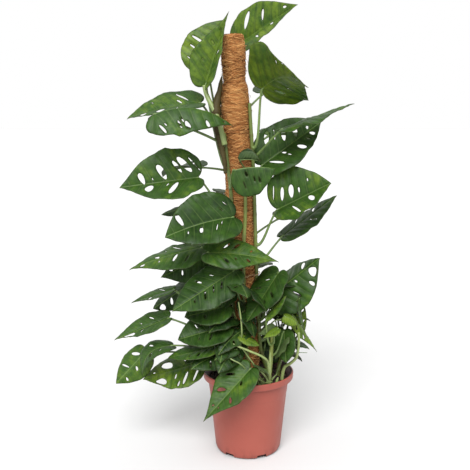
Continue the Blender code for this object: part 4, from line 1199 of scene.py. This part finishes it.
def stalk_line(leaf, blade, seed):
    """The stalk's centre line from inside its stem to the blade, then the midrib under the blade."""
    centre, radius = stem_spot(STEMS[leaf.stem], leaf.height * MM)
    away = blade.base - centre
    level = Vector((away.x, away.y, 0.0)).normalized()
    start = centre + level * (radius + GAP + 0.1 * MM)
    pull = away.length * 0.35
    leave = start + level * min(pull, 14 * MM) + UP * (0.3 * pull)
    reach = (blade.along * 0.25 + away.normalized() * 0.75) * min(pull, 25 * MM)
    route = [centre + level * radius * 0.3, start]
    route += interpolate_bezier(start + level * (1.5 * MM), leave, blade.base - reach, blade.base, 18)
    slim = min(1.0, 0.45 + 0.55 * blade.length / LONG_LEAF)
    radii = []
    for share in np.arange(len(route)) / (len(route) - 1):
        thick = STALK_ROOT + (STALK_NECK - STALK_ROOT) * min(1.0, share * 1.3)
        swelling = 0.35 * math.exp(-((share / 0.10) ** 2))
        swelling += 0.30 * math.exp(-(((share - 0.95) / 0.05) ** 2))
        radii.append(thick * (1 + swelling) * slim)
    shares = np.linspace(0.03, 0.86, 14)
    spots, _ = blade_points(leaf, blade, shares, np.zeros(len(shares)), seed)
    crown = (blade.normal[0] + blade.normal[1]).normalized()
    for share, spot in zip(shares, spots):
        thick = slim * (1.15 * (1 - share) + 0.25) * MM
        route.append(Vector(spot) - crown * (0.75 * thick))
        radii.append(thick)
    return route, radii


def make_leaf(name, leaf, windows, tone, seed, looks, nodes=()):
    """A blade and its stalk; the looks are for the upper face, the underside and the stalk."""
    blade = lay_blade(leaf)
    flat, faces, rims = blade_mesh(blade, windows)
    points, detail = blade_points(leaf, blade, flat[:, 0], flat[:, 1], seed, rims)
    both, top, under = shell(points, faces[:, ::-1], BLADE_THICKNESS)
    sides = [0] * len(top) + [1] * len(under)
    shape = Shape()
    shape.add(both, top + under, sides, np.tile(detail, (2, 1)), tone, np.tile(rims / MM, 2))
    route, radii = stalk_line(leaf, blade, seed)
    shape.add(*tube(route, radii, STALK_SIDES), look=2, tone=0.45 + 0.4 * tone)
    shape.piece(name, looks, nodes)


def make_leaves(looks):
    for number, (leaf, tone) in enumerate(zip(LEAVES, TONES), start=1):
        windows = list(WINDOWS.get(number, ()) + SLITS.get(number, ()))
        if not windows:
            rng = random.Random(number)
            windows = grown_windows(lay_blade(leaf).length, rng)
            windows += grown_slits(windows, rng) if windows else []
        node_name = f"leaf_{number:02d}"
        make_leaf(node_name + "_blade", leaf, windows, tone, number, looks, [node_name])


def hides_shoots(base, tip):
    """Whether the outer half of a leaf, given by its ends, hangs in the clearing of the young shoots."""
    for share in (0.5, 0.75, 1.0):
        x, y, z = (start + (end - start) * share for start, end in zip(base, tip))
        if CLEARING_SIDES[0] < x < CLEARING_SIDES[1] and y < CLEARING_FRONT and z < CLEARING_TOP:
            return True
    return False


def make_inner_leaves(looks):
    """Shaded leaves between the outer ones, round the foot of the pole, that close up the bush; their dark
    tones are painted shade.
    """
    rng = random.Random(17)
    for number in range(INNER_LEAVES):
        turn = math.radians(-90 + 360 * (number * GOLDEN_SHARE % 1.0 - 0.5) * 0.98)
        low = INNER_LOW + INNER_RISE * (number + rng.random()) / INNER_LEAVES
        out = rng.uniform(*INNER_OUT)
        base = (out * math.cos(turn), out * math.sin(turn), low)
        aim = turn + math.radians(rng.uniform(*INNER_AIM))
        drop = math.radians(rng.uniform(*INNER_DROP))
        length = rng.uniform(*INNER_LENGTH)
        tip = (
            base[0] + length * math.cos(drop) * math.cos(aim),
            base[1] + length * math.cos(drop) * math.sin(aim),
            base[2] - length * math.sin(drop),
        )
        start = (low - 30) * MM
        stem = min(INNER_STEMS, key=lambda name: (stem_spot(STEMS[name], start)[0] - place(*base)).length)
        leaf = Leaf(
            stem, low - rng.uniform(*INNER_STALK), base, tip, rng.uniform(*INNER_WIDTH),
            tuple(rng.uniform(*lift) for lift in INNER_LIFTS), rng.uniform(*INNER_ARCH), 0.2, 0.06,
        )
        windows = grown_windows(length * MM, rng)
        # A low tone for each: painted shade inside the bush.
        tone = rng.uniform(0.0, 0.25)
        if not hides_shoots(base, tip):
            make_leaf(f"inner_leaf_{number:02d}", leaf, windows, tone, INNER_SEEDS + number, looks)


# Small leaves at the foot, folded or rolled, and the bracts of the shoots, each with its tone.
YOUNG_LEAVES = {
    "rolled_leaf": (0.15, Leaf("vine_right", 520, (-17, -46, 551), (20, -56, 549), 13, (50, 50), 2, -1.0)),
    "bract_middle": (
        0.5, Leaf("shoot_front", 225, (44, -66, 243), (15, -72, 245), 24, (75, -20), 0, point=1),
    ),
    "bract_right": (0.95, Leaf("shoot_right", 235, (62, -70, 277), (86, -68, 259), 13, (35, -65), 3, 0.3)),
    "blade_right": (
        0.25, Leaf("shoot_right", 238, (89, -58, 306), (102, -58, 241), 7, (35, -20), -4, point=0.6),
    ),
    "blade_low": (
        0.45, Leaf("shoot_right", 205, (69, -46, 232), (48, -52, 190), 19, (15, 20), 2, 0.3, 0.08),
    ),
    "blade_dark": (
        0.2, Leaf("shoot_right", 215, (82, -24, 236), (70, -34, 186), 15, (35, -10), 3, 0.3, 0.08),
    ),
    "blade_left": (0.2, Leaf("shoot_middle", 190, (-22, -70, 216), (-62, -84, 200), 13, (-35, 20), 4, 0.3)),
    "blade_foot": (0.3, Leaf("shoot_front", 170, (8, -74, 188), (36, -88, 172), 13, (-10, 35), 4, 0.3)),
    # Its low tone is painted shade behind the shoots.
    "blade_shaded": (0.1, Leaf("vine_right", 165, (25, 5, 190), (76, 9, 176), 23, (60, -62), 3, 0.3, 0.08)),
}

# Those of them that have the look of an underside on both faces.
PALE_LEAVES = ("bract_middle", "blade_low", "blade_foot")

# Stalks of young leaves: how pale, the radius at each end, and the way, all in millimetres.
YOUNG_STALKS = (
    (0.85, 3.3, 2.2, (
        (62, -26, 142), (66, -27, 166), (78, -34, 178), (87, -42, 192), (90, -50, 217), (89, -58, 243),
    )),
    (0.75, 3.0, 1.8, ((37, -55, 142), (38, -56, 189), (40, -58, 219), (40, -64, 243))),
    (0.55, 1.4, 1.2, ((39, -62, 236), (37, -62, 256), (46, -64, 267), (57, -66, 270), (64, -68, 276))),
    (0.70, 2.6, 1.6, (
        (37, -52, 150), (34, -64, 188), (23, -72, 203), (2, -76, 214), (-25, -74, 225), (-50, -66, 236),
    )),
    (0.40, 1.5, 1.2, ((0, -70, 170), (-14, -86, 193), (-32, -82, 202), (-48, -72, 212))),
    (0.65, 1.9, 1.3, ((36, -56, 146), (37, -60, 160), (31, -68, 173), (20, -70, 179), (4, -66, 172))),
    (0.55, 1.6, 1.2, ((-14, -60, 226), (-13, -74, 250), (-15, -76, 277), (-19, -74, 304))),
    (0.10, 0.7, 0.5, ((70, -34, 198), (91, -44, 201), (106, -48, 202))),
    (0.60, 5.2, 3.9, (
        (-43, -33, 576), (-50, -31, 603), (-57, -28, 626), (-66, -22, 644), (-75, -16, 663), (-79, -14, 679),
    )),
    (0.30, 1.6, 1.2, ((52, -20, 150), (62, -24, 190), (56, -40, 228), (48, -46, 262))),
    (0.45, 1.5, 1.1, ((22, -58, 146), (12, -66, 180), (-4, -72, 206), (-12, -84, 222))),
)


# The withered sheath behind the upper left stalks, as places with its radius there.
OLD_SHEATH = (
    (-42, -34, 526, 2.6), (-44, -33, 550, 4.2), (-49, -31, 570, 5.4),
    (-53, -28, 591, 6.6), (-57, -26, 612, 7.6), (-58, -24, 631, 7.8),
    (-57, -20, 650, 6.4), (-52, -16, 671, 4.4), (-49, -12, 692, 1.4),
)


def make_old_sheath(look):
    route = smooth_route([place(x, y, z) for x, y, z, _ in OLD_SHEATH], 6)
    shares = np.linspace(0, len(OLD_SHEATH) - 1, len(route))
    radii = np.interp(shares, range(len(OLD_SHEATH)), [radius * MM for *_, radius in OLD_SHEATH])
    points, faces = tube(route, radii, OLD_SHEATH_SIDES)
    centres = np.repeat(np.array([tuple(spot) for spot in route]), OLD_SHEATH_SIDES, axis=0)
    creases = np.array([1 + CREASE_DEPTH * noise.noise(Vector(spot) * CREASE_SCALE) for spot in points])
    sheath = Shape()
    sheath.add(centres + (points - centres) * creases[:, None], faces, tone=0.2)
    sheath.piece("old_sheath", [look])


def make_young_leaves(looks):
    for number, (name, (tone, leaf)) in enumerate(YOUNG_LEAVES.items(), start=YOUNG_SEEDS):
        faces = [looks[1], looks[1], looks[2]] if name in PALE_LEAVES else looks
        make_leaf(name, leaf, [], tone, number, faces)


def make_young_stalks(look):
    stalks = Shape()
    for tone, first, last, way in YOUNG_STALKS:
        route = smooth_route([place(*spot) for spot in way], 8)
        radii = np.linspace(first, last, len(route)) * MM
        stalks.add(*tube(route, radii, YOUNG_STALK_SIDES), tone=tone)
    stalks.piece("young_stalks", [look])


def make_sheaths(look):
    """Withering sheaths round the shoots' feet, bent over a little."""
    rng = random.Random(29)
    sheaths = Shape()
    for _ in range(SHEATHS):
        foot = place(rng.uniform(*SHEATH_SIDEWAYS), rng.uniform(*SHEATH_FORWARD), SHEATH_FOOT)
        way = Vector((rng.gauss(-0.2, 0.45), rng.gauss(-0.15, 0.4), 1.0))
        reach = rng.uniform(*SHEATH_LENGTH) * MM
        bend = Vector((rng.gauss(0, 0.3), rng.gauss(0, 0.3), -0.25)) * reach
        wide = rng.uniform(*SHEATH_RADIUS) * MM
        shares = np.linspace(0, 1, len(SHEATH_TAPER))
        route = [foot + way * reach * share + bend * share * share for share in shares]
        radii = [wide * size for size in SHEATH_TAPER]
        sheaths.add(*tube(route, radii, 8), tone=rng.uniform(0.5, 1.0))
    sheaths.piece("shoot_sheaths", [look])


def make_roots(look):
    """Short brown roots and hairs where the stems grip the pole."""
    rng = random.Random(83)
    roots = Shape()
    for number in range(ROOTS):
        name = ("vine_left", "vine_right", "vine_left", "vine_front")[number % 4]
        points = STEMS[name]
        height = rng.uniform(0.42, 0.60) if name == "vine_left" else rng.uniform(0.30, points[-1].z)
        spot, radius = stem_spot(points, height)
        turn = rng.uniform(0, 2 * math.pi)
        out = Vector((math.cos(turn), math.sin(turn), rng.uniform(-0.5, 0.3))).normalized()
        reach = rng.uniform(*ROOT_REACH) * MM
        middle = spot + out * (radius + 0.5 * reach) + UP * rng.uniform(-0.6, 0.6) * MM
        end = spot + out * (radius + reach) - UP * rng.uniform(0.0, 2.5) * MM
        thick = rng.uniform(*ROOT_RADIUS) * MM
        route = [spot + out * radius * 0.8, middle, end]
        roots.add(*tube(route, [thick, thick * 0.8, thick * 0.4], 4), tone=rng.uniform(0, 0.6))
    roots.piece("grip_roots", [look])


# Soil and pot
def soil_height(x, y):
    """The soil's height at a place: a low crown with soft waves, lumps and grains."""
    edge = min(math.hypot(x, y) / SOIL_RADIUS, 1.0)
    waves = math.sin(x * 190 + 1.3) * math.cos(y * 170 - 0.6) + math.sin((x + y) * 310) * 0.6
    lumps = SOIL_LUMPS * noise.noise(Vector((x, y, 0.3)) * 120)
    grains = SOIL_GRAINS * noise.noise(Vector((x, y, 2)) * 420)
    return SOIL_TOP + SOIL_CROWN * (1 - edge ** 2) + SOIL_RELIEF * waves * (1 - edge) + lumps + grains


def make_soil(look):
    """Lumpy earth down to a little below its top, with loose crumbs on it."""
    turns = [2 * math.pi * spoke / SOIL_SPOKES for spoke in range(SOIL_SPOKES)]
    points = [(0.0, 0.0, soil_height(0, 0))]
    for ring in range(1, SOIL_RINGS + 1):
        out = SOIL_RADIUS * ring / SOIL_RINGS
        for turn in turns:
            x, y = out * math.cos(turn), out * math.sin(turn)
            points.append((x, y, soil_height(x, y)))
    for turn in turns:
        points.append((SOIL_LOW_RADIUS * math.cos(turn), SOIL_LOW_RADIUS * math.sin(turn), SOIL_LOW))
    points.append((0.0, 0.0, SOIL_LOW))
    earth = Shape()
    earth.add(points, [face[::-1] for face in closed(SOIL_RINGS + 1, SOIL_SPOKES)], tone=0.35)
    rng = random.Random(5)
    ball_points, ball_faces = ball()
    for _ in range(CRUMBS):
        turn = rng.uniform(0, 2 * math.pi)
        out = SOIL_RADIUS * math.sqrt(rng.random()) * CRUMB_SPREAD
        x, y = out * math.cos(turn), out * math.sin(turn)
        size = rng.uniform(*CRUMB_SIZE) ** 1.6 * MM
        lumps = np.array([1 + rng.uniform(-0.3, 0.3) for _ in ball_points])[:, None]
        squash = np.array((rng.uniform(0.7, 1.3), rng.uniform(0.7, 1.3), rng.uniform(0.5, 0.9)))
        centre = np.array((x, y, soil_height(x, y) + 0.2 * size))
        earth.add(centre + ball_points * lumps * squash * size, ball_faces, tone=rng.uniform(0.1, 0.9))
    earth.piece("soil_crumbs", [look], ["soil"])


def ball():
    """A small round body of 42 points."""
    shape = bmesh.new()
    bmesh.ops.create_icosphere(shape, subdivisions=2, radius=1.0)
    points = np.array([tuple(vertex.co) for vertex in shape.verts])
    faces = [tuple(vertex.index for vertex in face.verts) for face in shape.faces]
    shape.free()
    return points, faces


def pot_profile():
    lip_low = POT_HEIGHT - RIM_DEPTH
    outside = [
        (0.0, 0.0),
        (PAD_RADIUS, 0.0),
        (PAD_RADIUS + 1.5 * MM, RECESS),
        (FOOT_INNER - 1.5 * MM, RECESS),
        (FOOT_INNER, 0.0),
        (BASE_RADIUS - 6 * MM, 0.0),
        (BASE_RADIUS - 2.2 * MM, 2.5 * MM),
        (BASE_RADIUS, BASE_CORNER),
        (COLLAR_RADIUS, COLLAR_HEIGHT - 1 * MM),
        (COLLAR_RADIUS + 0.5 * MM, COLLAR_HEIGHT + 1 * MM),
        (NECK_RADIUS, lip_low),
    ]
    lip = [
        (RIM_RADIUS - 2.5 * MM, lip_low),
        (RIM_RADIUS - 0.6 * MM, lip_low + 1.5 * MM),
        (RIM_RADIUS, POT_HEIGHT - 1.5 * MM),
        (RIM_RADIUS - 1.2 * MM, POT_HEIGHT),
        (RIM_RADIUS - RIM_WIDTH + 1.2 * MM, POT_HEIGHT),
    ]
    inside = [
        (RIM_RADIUS - RIM_WIDTH, POT_HEIGHT - 3 * MM),
        (NECK_RADIUS - WALL, lip_low),
        (COLLAR_RADIUS - WALL, COLLAR_HEIGHT),
        (BASE_RADIUS - WALL - 1 * MM, BASE_CORNER),
        (BASE_RADIUS - 8 * MM, FLOOR),
        (0.0, FLOOR),
    ]
    return outside + lip + inside


def drain_cutter(angle):
    """A rounded block where a drain notch is cut into the foot."""
    bpy.ops.mesh.primitive_cube_add(size=1.0)
    cutter = bpy.context.object
    cutter.location = (BASE_RADIUS * math.cos(angle), BASE_RADIUS * math.sin(angle), 0.0)
    cutter.rotation_euler = (0.0, 0.0, angle)
    cutter.scale = (DRAIN_DEPTH, DRAIN_WIDTH, 2 * DRAIN_HEIGHT)
    bpy.ops.object.transform_apply(location=False, rotation=False, scale=True)
    bevel = cutter.modifiers.new("Round", "BEVEL")
    bevel.width = DRAIN_CORNER
    bevel.segments = 4
    return cutter


def make_pot(look):
    """The pot, whose points from the inner edge of the lip on are marked as its earthy inside."""
    points, faces = lathe(smooth_profile(pot_profile()), POT_SIDES)
    inside = np.zeros((len(points), 3))
    inside[int(np.argmax(points[:, 2])) + 2 * POT_SIDES:, 0] = 1.0
    shape = Shape()
    shape.add(points, [face[::-1] for face in faces], detail=inside)
    pot = shape.piece("pot_shell", [look], ["pot"])
    angles = [math.radians(DRAIN_START + 360 / DRAIN_COUNT * number) for number in range(DRAIN_COUNT)]
    cutters = [drain_cutter(angle) for angle in angles]
    for cutter in cutters:
        boolean = pot.modifiers.new("Drain", "BOOLEAN")
        boolean.operation = "DIFFERENCE"
        boolean.object = cutter
    bpy.context.view_layer.update()
    mesh = bpy.data.meshes.new_from_object(pot.evaluated_get(bpy.context.evaluated_depsgraph_get()))
    pot.modifiers.clear()
    pot.data = mesh
    for cutter in cutters:
        bpy.data.objects.remove(cutter, do_unlink=True)
    mesh.set_sharp_from_angle(angle=SHARP_ANGLE)


# Stage
def make_camera(scene):
    camera = bpy.data.objects.new("camera", bpy.data.cameras.new("camera"))
    scene.collection.objects.link(camera)
    camera.location = EYE
    camera.rotation_euler = (math.radians(90 - EYE_DROP), 0.0, 0.0)
    camera.data.sensor_width = SENSOR_WIDTH
    camera.data.lens = FOCAL_PIXELS * SENSOR_WIDTH / PICTURE_PIXELS
    scene.camera = camera


def make_stage(scene):
    """A pale floor under white surroundings and one wide, soft light from the front."""
    scene.view_settings.view_transform = "Standard"
    scene.world = bpy.data.worlds.new("studio")
    scene.world.use_nodes = True
    background = scene.world.node_tree.nodes["Background"]
    background.inputs["Color"].default_value = (1.0, 1.0, 1.0, 1.0)
    background.inputs["Strength"].default_value = 1.0
    light = bpy.data.objects.new("key", bpy.data.lights.new("key", "SUN"))
    scene.collection.objects.link(light)
    light.data.energy = KEY_STRENGTH
    light.data.angle = KEY_SPREAD
    light.rotation_euler = Vector(KEY_WAY).to_track_quat("-Z", "Y").to_euler()
    bpy.ops.mesh.primitive_plane_add(size=FLOOR_SIZE)
    floor = bpy.context.object
    floor.name = "floor"
    floor.data.materials.append(floor_material())


def main():
    leaf_looks = [
        leaf_material(
            "leaf_top", (0.008, 0.024, 0.004), (0.030, 0.076, 0.008), (0.125, 0.192, 0.014),
            (0.110, 0.175, 0.040), 0.4, 0.44,
        ),
        leaf_material(
            "leaf_under", (0.026, 0.050, 0.014), (0.062, 0.100, 0.030), (0.125, 0.180, 0.060),
            (0.16, 0.22, 0.09), 0.6, 0.55,
        ),
        stem_material("leaf_stalk", (0.16, 0.24, 0.065), (0.035, 0.075, 0.013), (0.06, 0.05, 0.018)),
    ]
    stem_look = stem_material("stem", (0.19, 0.23, 0.045), (0.035, 0.070, 0.014), (0.09, 0.045, 0.018))
    young_look = stem_material("young_stem", (0.30, 0.37, 0.13), (0.055, 0.100, 0.028), (0.11, 0.075, 0.03))
    coir_look = fibre_material("coir", (0.090, 0.027, 0.008), (0.455, 0.192, 0.056), (0.78, 0.46, 0.18))
    twine_look = fibre_material("twine", (0.25, 0.14, 0.06), (0.50, 0.33, 0.18), (0.70, 0.52, 0.32))
    husk_look = fibre_material(
        "husk", (0.032, 0.024, 0.007), (0.075, 0.058, 0.018), (0.17, 0.090, 0.032), 0.6,
    )
    wood_look = fibre_material("stake_wood", (0.18, 0.10, 0.05), (0.35, 0.22, 0.12), (0.48, 0.33, 0.19))
    make_camera(bpy.context.scene)
    make_stage(bpy.context.scene)
    make_pot(pot_material())
    make_soil(soil_material())
    make_stake(wood_look)
    make_coir(coir_look)
    make_fibres(coir_look)
    for name in STEMS:
        make_stem(name, stem_look)
    make_tie(twine_look)
    make_leaves(leaf_looks)
    make_inner_leaves(leaf_looks)
    make_young_leaves(leaf_looks)
    make_young_stalks(young_look)
    make_sheaths(young_look)
    make_old_sheath(husk_look)
    make_roots(coir_look)


main()
